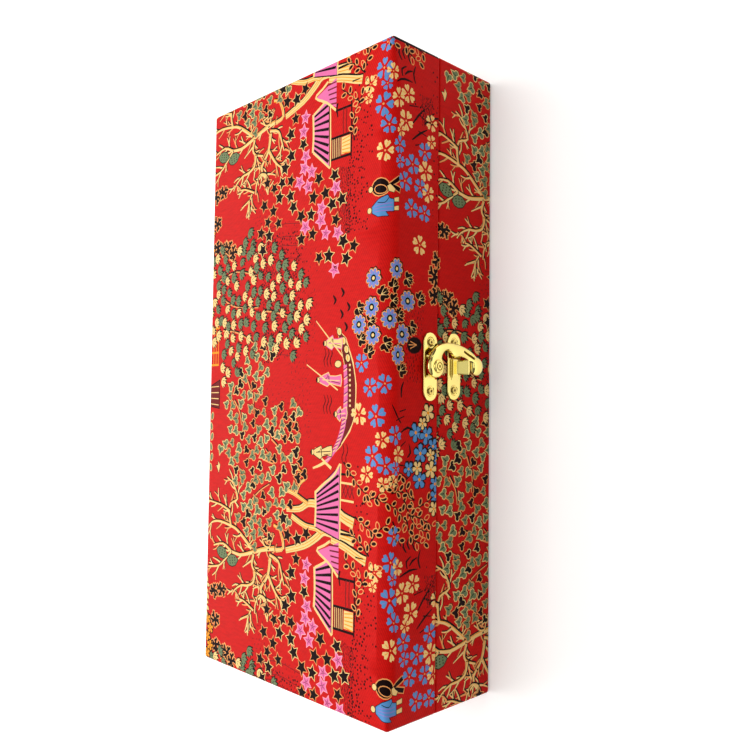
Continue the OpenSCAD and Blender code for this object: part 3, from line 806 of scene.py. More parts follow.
def draw_boat(loom):
    """The river boat with its bundles, lantern poles and crew."""
    hull = [(110, 97), (116, 103.6), (122, 107.6), (128, 110), (136, 111.4), (156, 111), (173, 105.4),
            (168, 111.4), (157, 116.4), (147, 118.6), (133, 118.2), (126, 114.8), (119, 108.6)]
    loom.edged("wine", "gold", hull, 0.4)
    deck = [(111, 98.4), (116.4, 104), (122, 107.9), (128, 110.3), (135, 111.6), (146, 111.9), (156, 111.2)]
    loom.line("pink", deck, 2.0, 2.2, 3.0)
    for x, v in smooth_line(deck, 3)[1:-1]:
        loom.line("gold", [(x - 0.5, v - 1.2), (x + 0.7, v + 1.2)], 0.35, 0.35)
        loom.line("black", [(x + 0.3, v - 1.2), (x + 1.5, v + 1.2)], 0.3, 0.3)
    loom.line("gold", [(108, 89.6), (109.4, 94), (111.4, 98.6)], 0.9, 1.6)
    loom.line("gold", [(120, 109.4), (127, 115.2), (134, 118), (147, 118.4), (157, 116.2), (168, 111.2)],
              0.5, 0.5)
    for k in range(9):
        loom.fill("gold", turned(ring_of(6, 0.5), (137.4 + 2.3 * k, 114.8 - 0.05 * k), 1.3))
    for at in [(159, 113), (163, 112), (167, 110), (171.4, 107)]:
        loom.edged("gold", "black", turned(ring_of(8, 0.5, 0.4), at, 3.6, 20), 0.35)
        loom.line("orange", [(at[0] - 1.0, at[1]), (at[0] + 1.0, at[1] - 0.3)], 0.5, 0.5)
    for v in (97.4, 99.6, 101.8):
        for x in (133.5, 155.5):
            loom.line("black", [(x, v), (x + 3, v - 0.9), (x + 6, v + 0.5), (x + 9, v - 0.6)], 0.3, 0.3,
                      0.7)
    for v in (110.6, 113.2):
        loom.line("black", [(111, v), (114, v - 0.8), (117, v + 0.5), (120, v - 0.3)], 0.3, 0.3, 0.6)
    loom.line("gold", [(108.6, 102.6), (112.6, 96), (117.6, 91)], 1.5, 0.5)
    draw_figure(loom, (115.5, 89), (116.4, 102.6), "gold", "black")
    draw_figure(loom, (133.5, 105), (134, 112.4), "pink")
    draw_figure(loom, (149.5, 92.4), (148.8, 108.4), "pink")
    loom.line("gold", [(144.5, 106.4), (151, 95), (157, 84)], 0.7, 0.5)
    draw_figure(loom, (166.5, 97), (165.8, 108.6), "gold", "pink")
    loom.line("gold", [(160, 109.4), (169, 99.6), (177.5, 90.5)], 0.7, 0.5)
    loom.edged("gold", "black", turned(ring_of(9, 0.36, 0.5), (156.5, 106.4), 4.4), 0.35)
    for x, v in [(173.5, 111.5), (179.5, 108.5), (182.5, 113), (186.5, 103.5), (189.5, 109)]:
        loom.line("black", [(x - 2.2, v - 0.6), (x - 0.4, v + 0.7), (x + 2.0, v - 1.0)], 0.5, 0.7, 1.5)


def draw_oval_twig(loom, points, rng, every=2.2, size=3.0):
    """A dark twig with small pale-edged oval leaves, in turn to its left and right."""
    loom.line("black", points, 1.0, 0.55)
    line = smooth_line(points, 8)
    walked, side = 0.0, rng.choice([-1, 1])
    for a, b in zip(line, line[1:]):
        walked += math.dist(a, b)
        if walked < every:
            continue
        walked, side = 0.0, -side
        turn = math.degrees(math.atan2(a[1] - b[1], b[0] - a[0])) + side * rng.uniform(30, 60)
        spot = polar(a, -math.radians(turn), 0.75 * size)
        yarn = "black" if rng.random() < 0.7 else "ground"
        loom.edged(yarn, "peach", turned(OVAL, spot, size, turn), 0.45)


GREEN_HEARTS = [
    (72.4, 36.9), (76.6, 41), (84.9, 34), (86.2, 39.7), (79.8, 43.6), (84, 46.2), (77.9, 48), (89.1, 44.2),
    (71.5, 43), (94.6, 37.8), (99.4, 32.7), (99.4, 44.2), (79.5, 56.4), (87.2, 55.1), (93.9, 57.7),
    (83.3, 62.2), (89.1, 61.5), (88.8, 66.7), (94.6, 66), (82.7, 66.7), (116.7, 16.3), (111.9, 19.2),
    (117.6, 22.4), (109.9, 26.9), (114.7, 28.8), (124, 25.6), (130.4, 25.6), (137.2, 22.4), (101.9, 32),
    (126, 34), (119.9, 37.2), (131.4, 33), (138.5, 30), (151.3, 33.3), (135.9, 38.5), (142.6, 37.8),
    (155.8, 36.5), (111.5, 41), (100.6, 49), (114.4, 44.6), (125.3, 46), (142, 43.6), (112.2, 49.7),
    (118.6, 47.8), (120.8, 52.9), (127.9, 52.6), (133.7, 50), (145.2, 47.1), (157, 46.8), (162.5, 43.3),
    (162.8, 50.6), (105.4, 58.3), (122.4, 61.9), (129.5, 59), (135, 59), (111.5, 66.7), (124.7, 65.4),
    (98, 69.6), (128.2, 65.5),
]
BLACK_HEARTS = [
    (96.8, 41.7), (91.7, 50.6), (84, 51.9), (75.6, 53), (76.9, 34.3), (103.5, 26.6), (122.1, 31.5),
    (107.7, 35.9), (103.8, 41), (106.4, 47.4), (121, 42.5), (128.2, 41), (133.7, 44.2), (144.9, 25.6),
    (147.4, 41), (124.4, 57), (101.6, 63.5), (105.8, 67.3), (121, 67.5), (132, 68), (107, 75.5),
    (110.5, 80), (115, 76.5), (121.5, 72.5), (132, 74),
]
PALE_MAPLES = [
    (155, 17.5), (166.5, 20), (173.5, 21.5), (163.5, 26), (174, 29), (180.5, 22), (166, 33.5), (172, 36),
    (175.5, 8), (182.3, 13.5), (176, 15.5), (183, 6), (189.5, 16), (188.5, 0.5), (194, 3), (198.5, 7),
    (186.5, 26.5), (195, 32), (186, 38.5), (191.5, 37), (183.5, 49), (194.5, 51), (192.5, 57), (177.5, 58),
    (171, 62), (168, 68), (183.5, 64.5), (168, 76), (174.5, 79.5), (181, 76), (186, 78.5), (191.5, 72),
    (196, 77), (212.5, 21.5), (207.5, 37), (214, 41), (203, 39.5), (210.5, 47.5), (211.5, 54), (201.5, 61),
    (205, 15.5), (210.5, 1.5), (201.5, 24),
]
GREEN_MAPLES = [
    (160, 22.5), (168, 27), (180, 17), (186.5, 21.5), (194, 21), (190, 6.8), (183.5, 10), (194.5, 11.5),
    (200.5, 12), (180.5, 28.5), (193, 26.2), (181, 33.5), (188.5, 32), (178.5, 40), (183.5, 44),
    (191, 43.5), (196.5, 45.5), (177, 50), (188.5, 53), (182.5, 57), (187, 60), (196, 64), (176, 66.5),
    (190, 67), (172.5, 72), (180, 70.5), (186, 72), (203, 7), (211.5, 8), (207.5, 12), (212, 15.5),
    (206, 21.5), (207, 29), (213.5, 29), (216.5, 35), (209, 42), (200, 34), (204.5, 45.5), (203, 52),
    (207.5, 66),
]
BLACK_STARS = [
    (8.3, 57.7), (15.4, 56.5), (20.5, 61), (13.5, 65.4), (26.5, 66), (32, 61.5), (2.6, 83.8), (14, 83.4),
    (19.6, 77.2), (25.6, 74.8), (33.3, 75), (45.8, 75), (57, 74.4), (64, 78), (73.5, 78.7), (74.5, 71),
    (49.4, 84.4), (3.8, 92.3), (13.5, 91), (21.5, 92.6), (22, 101.4), (8, 109), (15.8, 106.2),
    (29.2, 107.8), (17, 113), (204.8, 111), (210, 116), (213.1, 108.8), (207.7, 98.8),
]
PINK_STARS = [
    (8, 86.8), (31, 82), (37.4, 85.4), (34.5, 91), (27.6, 88.4), (43, 86.4), (55.8, 84.5), (62.5, 85.8),
    (9.3, 98.4), (15.4, 98.7), (2.6, 102), (23.2, 108.8), (1.6, 110.5), (200.6, 103),
]
DAISIES = [
    (173.7, 120), (168.4, 129), (180.8, 128), (193.6, 129), (175.3, 138.3), (159.5, 144), (168.6, 147),
    (197, 142.5), (183.5, 150.5),
]
BLUE_BLOSSOMS = [
    (45, 142.5, 9.4), (54.5, 139.5, 11.4), (70.5, 140, 10.4), (81.5, 142, 9.4), (63.5, 141.5, 7),
    (36, 149.5, 9),
    (20.5, 153.5, 9.6), (9, 158, 9.4), (29, 158.5, 9.6), (19.5, 163.5, 9.4), (8.5, 166.5, 8.6),
    (36.5, 166.5, 9.6),
    (28.6, 150, 7), (115.5, 129.5, 11), (111.5, 136.5, 9), (110.5, 143, 7), (124.8, 142.5, 10),
    (132.8, 131.5, 11),
    (145.5, 127.5, 9.6), (147, 136, 9), (156.5, 122, 9),
]
PALE_BLOSSOMS = [
    (33.5, 140.5, 10.6), (47.5, 154, 10.4), (57, 148.5, 9.6), (60, 155.4, 9.4), (42.5, 150.6, 6.5),
    (68.3, 145, 8),
    (133.5, 120.8, 10.6), (116.5, 145, 8.6), (122.8, 134.8, 8), (103.5, 135.5, 7), (107.5, 126, 8.6),
    (105, 141, 6.5),
    (65.5, 131.5, 8.6), (59.3, 130.4, 5.5), (18, 169, 9), (27.8, 167.2, 10), (51, 171, 8.6), (42, 171, 7),
    (209.5, 158, 9.6),
]
BLUE_FLOWERS = [
    (110, 152, 6.6), (105, 159, 8.8), (116.5, 159.5, 8.8), (125.8, 156.5, 8.8), (124.5, 163.4, 8.8),
    (119.5, 168, 7.4), (97, 170, 7.4), (102.5, 169.5, 7.4), (113, 170.4, 7),
]
PALE_FLOWERS = [
    (109, 166.6, 8.2), (134.5, 164.5, 8.4), (110.2, 157.5, 6.4), (91.5, 168.8, 6.8), (129.8, 160.8, 5.8),
    (115.6, 166.4, 5.8),
]
OVAL_TWIGS = [
    [(43, 121), (52, 120.4), (58, 122.6), (64, 128), (68, 132)], [(59, 125), (64, 118.6), (69, 112)],
    [(73, 127), (79, 129.6), (84, 134), (87, 139)], [(88, 119), (85.4, 124), (82, 131)],
    [(94, 123), (97.4, 130), (95.4, 138), (92, 146), (85, 151)],
    [(112, 111), (106, 117), (101, 122), (97.6, 129)],
    [(97, 132), (103, 138.6), (105, 146)], [(100, 140), (100.4, 148), (96, 154)],
    [(97, 149), (90, 153), (84, 157.6), (81.6, 165)], [(92, 155), (94, 162), (97, 168.6)],
    [(90, 152), (88, 160), (83.6, 168)], [(72, 128), (78, 121), (80, 116)],
    [(96, 156), (100, 151), (104, 150)],
    [(88, 151), (82, 153), (77.6, 158), (77, 164)], [(88, 141), (83, 144), (77, 147.6)],
]
BRUSH_STROKES = [
    [(64, 147), (66, 153), (66, 158)], [(68, 153), (70, 155), (71, 158)],
    [(67, 151.6), (70, 151), (72, 154)],
    [(74, 157), (77, 155), (80, 157)], [(75, 153), (78, 151.4), (80, 153)],
    [(74, 151), (76.6, 149), (80, 149.6)],
    [(49, 166), (53, 171), (55, 179)], [(52, 166.6), (56, 173)], [(50, 170), (52, 178)],
    [(40, 158), (44, 163), (47, 168)], [(38, 160), (39.4, 164)], [(45, 162), (44, 167.6)],
    [(47, 158), (52, 162), (56, 166)],
    [(55, 156), (56, 162)], [(130, 147), (134, 143), (138, 140)], [(131, 143), (133, 149)],
    [(135, 146), (136, 150)],
    [(141, 147), (145, 147), (148, 148.4)], [(106, 151), (109, 146)], [(112, 146), (111, 152)],
    [(115, 151), (117, 153), (121, 152)], [(120, 147), (122, 150)], [(104, 148), (107, 153)],
    [(66, 160), (70, 158.6), (74, 160)], [(126, 147), (128, 151), (127, 155)],
]
EDGE_MAPLES = [
    (2.5, 11, "gold"), (6.8, 15.4, "green"), (4, 32, "gold"), (7.5, 37, "green"), (12, 41.5, "green"),
    (3, 43.5, "green"), (3.4, 50.5, "gold"),
]


def woven_cell(rng):
    """One cell of the pattern, in the order in which its yarns lie over each other."""
    loom = Loom()
    for points in BRUSH_STROKES:
        loom.line("black", points, 0.6, 0.45, 1.1, steps=2)
    for k in range(12):
        x = 160 + 6 * k + rng.uniform(-1, 1)
        loom.line("wine", [(x, 47), (x + 3, 60), (x + 1, 78)], 0.4, 0.3)
    for points in [
        [(114, 33), (114.4, 36), (114, 40)], [(110, 51), (108.6, 59.6), (115.4, 52)],
        [(120.5, 57), (118, 61), (116, 64)], [(140, 24), (134, 29), (127, 31)],
        [(150, 36), (140, 41), (133, 41)],
        [(88, 40), (94, 48), (98, 56)], [(178, 12), (176, 26), (170, 40)],
        [(196, 10), (190, 24), (188, 44)],
        [(206, 8), (209, 24), (205, 42)], [(186, 48), (184, 60), (180, 74)],
    ]:
        draw_limb(loom, points, 0.9, 0.5, "peach")
    draw_tree(loom, rng)
    draw_house_front(loom)
    draw_boat(loom)
    loom.edged("wine", "black", [(137, 2), (140, -1), (147, -1), (151, 9.6), (136, 9.6)], 0.5)
    for k in range(4):
        loom.line("gold", [(138.4 + 3 * k, 0), (137.6 + 3.4 * k, 9)], 0.4, 0.5)
    for x in (159.6, 166.4, 173.2, 180):
        loom.line("orange", [(x, -1), (x, 8.4)], 1.0, 1.1)
    for k in range(3):
        loom.line("orange", [(159, 3.4 + 2.2 * k), (181, 3.4 + 2.2 * k)], 0.5, 0.5)
    draw_scholars(loom)
    for at, turn in [((9, 11), 0), ((22, 10), 30), ((37.5, 8), 10), ((39, 15), 50), ((7, 22), 20),
                     ((3.5, 25.5), 70)]:
        draw_coral(loom, at, rng, 8.5, turn)
    for at in [(223, 13), (188, 168.5), (196.5, 168.5), (186, 175), (205, 171)]:
        draw_coral(loom, at, rng)
    leaf = turned(ring_of(12, 0.42, 0.54), (164.3, 155), 8.6, 8)
    loom.edged("black", "wine", leaf, 0.3)
    for way in (-1, 0, 1):
        loom.line("peach", [(164.3 + 1.6 * way, 151.4 + abs(way)), (164.6, 156.6)], 0.5, 0.35)
    for k in range(5):
        draw_small_flower(loom, (3 + 4.6 * k, 2.6 + 2.6 * (k % 2)), rng, "orange", 5.6)
    for k in range(7):
        loom.edged("gold", "black", turned(OVAL, (24 + 3.1 * k, 1.2 + 0.9 * (k % 2)), 3.4,
                                           20 + 25 * (k % 3)), 0.3)
    for k in range(6):
        loom.edged("green", "gold", turned(OVAL, (103.5 + 5.6 * k, 2.4 + 0.8 * (k % 2)), 4.0,
                                           15 - 30 * (k % 2)), 0.35)
    bird = [(-0.5, 0.02), (-0.16, 0.2), (0.12, 0.42), (0.16, 0.12), (0.5, 0.1), (0.2, -0.16), (-0.1, -0.12)]
    loom.edged("gold", "black", turned(bird, (104, 10.5), 6.0), 0.35)
    more = crowded(rng, GREEN_HEARTS + BLACK_HEARTS, 4.9, 44)
    leaves = [(at, "black") for at in BLACK_HEARTS + more[::3]]
    leaves += [(at, "green") for at in GREEN_HEARTS + more[1::3] + more[2::3]]
    for at, yarn in sorted(leaves, key=lambda m: m[0][1]):
        draw_ivy(loom, at, rng, yarn, "gold" if rng.random() < 0.5 else "peach")
    maples = [(at, "green") for at in GREEN_MAPLES] + [(at, "gold") for at in PALE_MAPLES]
    maples += [(at, rng.choice(["green", "gold"])) for at in crowded(rng, GREEN_MAPLES + PALE_MAPLES, 5.3,
                                                                     36)]
    for at, yarn in sorted(maples, key=lambda m: m[0][1]):
        draw_fan(loom, at, rng, yarn)
    for x, v, yarn in EDGE_MAPLES:
        draw_fan(loom, (x, v), rng, yarn)
    for at in BLACK_STARS + crowded(rng, BLACK_STARS + PINK_STARS, 6.6, 10):
        draw_star(loom, at, rng, "black")
    for at in PINK_STARS:
        draw_star(loom, at, rng, "pink")
    for points in OVAL_TWIGS:
        draw_oval_twig(loom, points, rng)
    for at, turn in [((167.5, 122), 20), ((180.5, 120.5), -30), ((161.8, 127), 50), ((175, 128), 10),
                     ((164, 137), -20),
                     ((186.5, 135), 30), ((183, 141), 0), ((153.5, 147), 40), ((171.5, 153.5), -40),
                     ((177, 145.5), 15), ((185.5, 159), 25), ((193, 151), -15), ((190, 141), 45)]:
        loom.edged("black", "peach", turned(MAPLE, at, 6.4, turn), 0.3)
        for way in (-1, 0, 1):
            loom.line("gold", turned([(0, 0.2), (0.26 * way, -0.14 - 0.1 * (way == 0))], at, 6.4, turn),
                      0.4, 0.15)
    for at in DAISIES:
        draw_daisy(loom, at, rng)
    for x, v, size in BLUE_BLOSSOMS:
        draw_blossom(loom, (x, v), rng, "blue", size)
    for x, v, size in PALE_BLOSSOMS:
        draw_blossom(loom, (x, v), rng, "gold", size)
    for x, v, size in BLUE_FLOWERS:
        draw_small_flower(loom, (x, v), rng, "blue", size)
    for x, v, size in PALE_FLOWERS:
        draw_small_flower(loom, (x, v), rng, "gold", size)
    return loom


# Wrapping the cloth round the boards


def easing(x):
    """How much of the lid's front easing is left at this place along the box."""
    t = min(max((HALF_LEN - EDGE_R - abs(x)) / EASE_FADE, 0.0), 1.0)
    return t * t * (3 - 2 * t)


def section(u, height, ease, half=HALF_WID):
    """Place and outward normal at u along the cloth from the middle of the face, out to one side.

    Returned as (out, up): the block stands on its rim at up = 0, and its wall is at out = half."""
    back = EDGE_R + (EASE_BACK - EDGE_R) * ease
    down = EDGE_R + (EASE_DOWN - EDGE_R) * ease
    if u <= half - back:
        return (u, height), (0.0, 1.0)
    if u < half + down:
        sweep = math.radians(90 - 40 * ease)
        ry, rz = back / (1 - math.cos(sweep)), down / math.sin(sweep)
        angle = sweep * (1 - (u - half + back) / (back + down))
        normal = Vector((math.cos(angle) / ry, math.sin(angle) / rz)).normalized()
        return (half - ry * (1 - math.cos(angle)), height - down + rz * math.sin(angle)), tuple(normal)
    depth = u - half
    if depth <= height - RIM_R:
        return (half, height - depth), (1.0, 0.0)
    if depth < height + RIM_R:
        angle = (depth - height + RIM_R) / (2 * RIM_R) * math.pi / 2
        c, s = math.cos(angle), math.sin(angle)
        return (half - RIM_R * (1 - c), RIM_R * (1 - s)), (c, -s)
    inward = depth - height
    if inward <= WALL_FLAT:
        return (half - inward, 0.0), (0.0, -1.0)
    return (half - WALL_FLAT, inward - WALL_FLAT), (-1.0, 0.0)


class Block:
    """One covered half of the box. Its rim is at the seam and its face away from it."""

    def __init__(self, height, way, front_eased):
        self.height, self.way, self.front_eased = height, way, front_eased

    def world(self, place, normal):
        x, y, up = place
        a, b, c = normal
        return (x, y, SEAM + self.way * up), (a, b, self.way * c)

    def strip(self, x, w):
        """The cloth over the face and the long walls: x along the box, w across the face, + to the back."""
        side = 1 if w > 0 else -1
        ease = easing(x) if self.front_eased and side < 0 else 0.0
        (out, up), (n_out, n_up) = section(abs(w), self.height, ease)
        over = abs(x) - (HALF_LEN - EDGE_R)
        place, normal = [x, side * out, up], [0.0, side * n_out, n_up]
        if over > 0:
            angle = min(over / (2 * EDGE_R), 1.0) * math.pi / 2
            c, s = math.cos(angle), math.sin(angle)
            sink = EDGE_R * (1 - c)
            place = [
                math.copysign(HALF_LEN - EDGE_R + EDGE_R * s, x),
                side * (out - sink * n_out),
                up - (sink if n_up > 0 else sink * RIM_R / EDGE_R) * n_up,
            ]
            normal = [math.copysign(s, x), side * n_out * c, n_up * c]
        return self.world(place, normal)

    def cap(self, y, d, end):
        """The cloth over an end wall: y across, d below its top edge, rounded on to the face for d < 0."""
        if d < 0:
            angle = min(-d / (2 * EDGE_R), 1.0) * math.pi / 2
            out = HALF_LEN - EDGE_R * (1 - math.cos(angle)) - max(-d - 2 * EDGE_R, 0.0)
            up = self.height - EDGE_R * (1 - math.sin(angle))
            normal = (end * math.cos(angle), 0.0, math.sin(angle))
            return self.world((end * out, y, up), normal)
        (out, up), (n_out, n_up) = section(HALF_LEN + EDGE_R + d, self.height, 0.0, HALF_LEN)
        return self.world((end * out, y, up), (end * n_out, 0.0, n_up))


def steps(start, end, count):
    return [start + (end - start) * k / count for k in range(count + 1)]


def area_of(outline):
    """The area inside an outline, below zero when it runs the other way round."""
    after = outline[1:] + outline[:1]
    return sum(a[0] * b[1] - b[0] * a[1] for a, b in zip(outline, after)) / 2


def placed_outlines(shapes, to_panel):
    """The outlines on the panel, all run the same way round, as the cut needs them."""
    placed = [(yarn, [to_panel(p) for p in outline]) for yarn, outline in shapes]
    return [(yarn, o if area_of(o) > 0 else o[::-1]) for yarn, o in placed]


def with_bounds(shapes):
    """Adds each outline's lowest and highest corner."""
    made = []
    for yarn, outline in shapes:
        low, high = (tuple(pick(p[k] for p in outline) for k in (0, 1)) for pick in (min, max))
        made.append((yarn, outline, low, high))
    return made


def overlapping(placed, low, high):
    """Those of the outlines whose bounds reach into the rectangle."""
    return [
        shape for shape in placed
        if all(shape[3][k] > low[k] and shape[2][k] < high[k] for k in (0, 1))
    ]


def top_yarn(spot, inside, shapes):
    """The yarn of the last outline that the spot is in. Bounds guard against one that crosses itself."""
    for k in sorted(inside, reverse=True):
        yarn, _, low, high = shapes[k]
        if low[0] <= spot[0] <= high[0] and low[1] <= spot[1] <= high[1]:
            return yarn
    return 0


def cut_tile(placed, plan, folds_x, folds_w, low, high):
    """Triangles of the cloth in one rectangle of a panel, each with the yarn that lies on top there."""
    points, faces, edges = [], [], []
    tile = [low, (high[0], low[1]), high, (low[0], high[1])]
    shapes = with_bounds([(0, plan), (0, tile)]) + overlapping(placed, low, high)
    for _, outline, _, _ in shapes:
        faces.append(list(range(len(points), len(points) + len(outline))))
        points += [Vector(p) for p in outline]
    lines = [((x, low[1]), (x, high[1])) for x in folds_x if low[0] < x < high[0]]
    lines += [((low[0], w), (high[0], w)) for w in folds_w if low[1] < w < high[1]]
    for start, end in lines:
        edges.append((len(points), len(points) + 1))
        points += [Vector(start), Vector(end)]
    places, _, triangles, _, _, within = delaunay_2d_cdt(points, edges, faces, 0, CUT_FINE, True)
    pieces = []
    for face, inside in zip(triangles, within):
        if 0 in inside and 1 in inside:
            spot = sum((places[k] for k in face), Vector((0, 0))) / len(face)
            pieces.append((face, top_yarn(spot, inside, shapes)))
    return places, pieces


def joined(spots, triangles, yarns, lines):
    """Joins the triangles of one yarn between the fold and tile lines, and cuts them anew.

    lines gives the places across and down the panel where points must stay in line."""
    at = np.array(spots)
    kept = []
    for k in (0, 1):
        gaps = np.abs(at[:, k : k + 1] - np.array(sorted(lines[k]))[None, :])
        kept.append(np.where(gaps.min(axis=1) < 2 * CUT_FINE, gaps.argmin(axis=1), -1).tolist())
    bm = bmesh.new()
    points = [bm.verts.new((x, w, 0.0)) for x, w in spots]
    for face, yarn in zip(triangles, yarns):
        made = bm.faces.new([points[k] for k in face])
        made.material_index = yarn
    bm.verts.index_update()
    for edge in bm.edges:
        a, b = edge.verts[0].index, edge.verts[1].index
        edge.seam = any(line[a] == line[b] >= 0 for line in kept)
    bm.normal_update()
    bmesh.ops.dissolve_limit(
        bm, angle_limit=math.radians(1.5), use_dissolve_boundaries=False, verts=bm.verts[:],
        edges=bm.edges[:], delimit={"MATERIAL", "SEAM"},
    )
    bmesh.ops.triangulate(bm, faces=bm.faces[:], quad_method="BEAUTY", ngon_method="BEAUTY")
    bm.verts.index_update()
    spots = [(v.co.x, v.co.y) for v in bm.verts]
    triangles = [[v.index for v in face.verts] for face in bm.faces]
    yarns = [face.material_index for face in bm.faces]
    bm.free()
    return spots, triangles, yarns


def panel(shapes, plan, folds_x, folds_w, to_panel, wrap, bake_shift):
    """Cuts the outlines to the panel's plan, and lays the pieces on the block.

    plan is the panel's outline in its own millimetres, and to_panel takes a place on the loom there."""
    low = [min(p[k] for p in plan) for k in (0, 1)]
    high = [max(p[k] for p in plan) for k in (0, 1)]
    placed = overlapping(with_bounds(placed_outlines(shapes, to_panel)), low, high)
    counts = [math.ceil((high[k] - low[k]) / TILE) for k in (0, 1)]
    lines = [steps(low[k], high[k], counts[k]) for k in (0, 1)]
    spots, triangles, yarns, seen = {}, [], [], set()
    for i in range(counts[0]):
        for j in range(counts[1]):
            corners = (lines[0][i], lines[1][j]), (lines[0][i + 1], lines[1][j + 1])
            places, pieces = cut_tile(placed, plan, folds_x, folds_w, *corners)
            for face, yarn in pieces:
                keys = [(round(places[k][0], 3), round(places[k][1], 3)) for k in face]
                corners = frozenset(keys)
                if len(corners) == 3 and corners not in seen:
                    seen.add(corners)
                    triangles.append([spots.setdefault(key, len(spots)) for key in keys])
                    yarns.append(yarn)
    folds = [list(folds_x) + lines[0], list(folds_w) + lines[1]]
    spots, triangles, yarns = joined(list(spots), triangles, yarns, folds)
    wrapped = [wrap(*spot) for spot in spots]
    return {
        "at": [w[0] for w in wrapped],
        "normal": [w[1] for w in wrapped],
        "flat": list(spots),
        "bake": [(spot[0] + bake_shift[0], spot[1] + bake_shift[1]) for spot in spots],
        "faces": triangles,
        "yarns": yarns,
    }


def cloth_object(name, panels, bake_side, materials):
    """One mesh of all the panels of a covered half, with its yarns as material slots."""
    whole = {key: [] for key in ("at", "normal", "flat", "bake", "yarns")}
    faces = []
    for part in panels:
        first = len(whole["at"])
        for key in whole:
            whole[key] += part[key]
        for face in part["faces"]:
            a, b, c = (Vector(part["at"][k]) for k in face)
            outward = sum((Vector(part["normal"][k]) for k in face), Vector())
            order = face if (b - a).cross(c - a).dot(outward) >= 0 else face[::-1]
            faces.append([first + k for k in order])
    mesh = bpy.data.meshes.new(name)
    mesh.from_pydata([[c * MM for c in p] for p in whole["at"]], [], faces)
    for material in materials:
        mesh.materials.append(material)
    mesh.polygons.foreach_set("material_index", whole["yarns"])
    corners = np.zeros(len(mesh.loops), np.int32)
    mesh.loops.foreach_get("vertex_index", corners)
    for label, key, scale in (("OFBake", "bake", 1 / bake_side), ("Cloth", "flat", 1.0)):
        layer = mesh.uv_layers.new(name=label)
        layer.data.foreach_set("uv", (np.array(whole[key])[corners] * scale).astype(np.float32).ravel())
    shade_smooth(mesh)
    mesh.normals_split_custom_set_from_vertices(whole["normal"])
    mesh.update()
    return new_object(name, mesh)


INNER_X = CAVITY_X - CLOTH_T
INNER_Y = CAVITY_Y - CLOTH_T
WALL_FLAT = HALF_WID - INNER_Y
STRIP_END = HALF_LEN + EDGE_R
CAP_HALF = HALF_WID - EDGE_R
END_FOLDS = [s * x for s in (-1, 1) for x in steps(HALF_LEN - EDGE_R, STRIP_END, 5)[:-1]]


def rim_folds(height):
    """Folds of the rim and the turn-in, as lengths beyond the edge of the face."""
    return steps(height - RIM_R, height + RIM_R, 4) + [height + WALL_FLAT]


def skirt(half, half_inside, depth, end):
    """The lower edge of a wall's cloth, from the right: a rim at depth, turned in down to end."""
    return [
        (half, depth), (half_inside, depth), (half_inside, end),
        (-half_inside, end), (-half_inside, depth), (-half, depth),
    ]


def lid_panels(shapes):
    block = Block(BOX_TOP - SEAM, 1, True)
    h = block.height
    reach = HALF_WID + h + WALL_FLAT
    back = skirt(STRIP_END, INNER_X, reach, reach + TURN_IN)
    plan = [(-x, -w) for x, w in back] + back
    ease_ends = HALF_LEN - EDGE_R - EASE_FADE, HALF_LEN - EDGE_R
    ease_folds = [s * x for s in (-1, 1) for x in steps(*ease_ends, 9)]
    rims = [HALF_WID + d for d in rim_folds(h)]
    fronts = [-w for w in steps(HALF_WID - EASE_BACK, HALF_WID + EASE_DOWN, 16) + rims]
    backs = steps(HALF_WID - EDGE_R, HALF_WID + EDGE_R, 5) + rims
    panels = [panel(
        shapes, plan, ease_folds + END_FOLDS, fronts + backs,
        lambda p: (p[0] - HALF_LEN, HALF_WID - p[1]), block.strip,
        (HALF_LEN + BAKE_GAP, reach + TURN_IN + 2),
    )]
    rim = h - RIM_R - EDGE_R
    low = h + WALL_FLAT - EDGE_R
    plan = [(-CAP_HALF, 0), (CAP_HALF, 0)] + skirt(CAP_HALF, INNER_Y, rim, low + TURN_IN)
    for end, shift in ((-1, (80, 245)), (1, (80, 297))):
        panels.append(panel(
            shapes, plan, [], [d - EDGE_R for d in rim_folds(h)],
            lambda p, e=end: (HALF_WID - p[1], (-p[0] if e < 0 else p[0] - 2 * HALF_LEN) - 2 * EDGE_R),
            lambda y, d, e=end: block.cap(y, d, e), shift,
        ))
    return panels


def belt_place(p, start):
    """A place on the loom, as (s, d) on the base's belt: s round the box from start, d below the seam."""
    x, v = p[0] - BELT_CORNER[0], p[1] - BELT_CORNER[1]
    c, s = math.cos(BELT_TILT), math.sin(BELT_TILT)
    return (x * c - v * s) / BELT_DRAWN - start, x * s + v * c


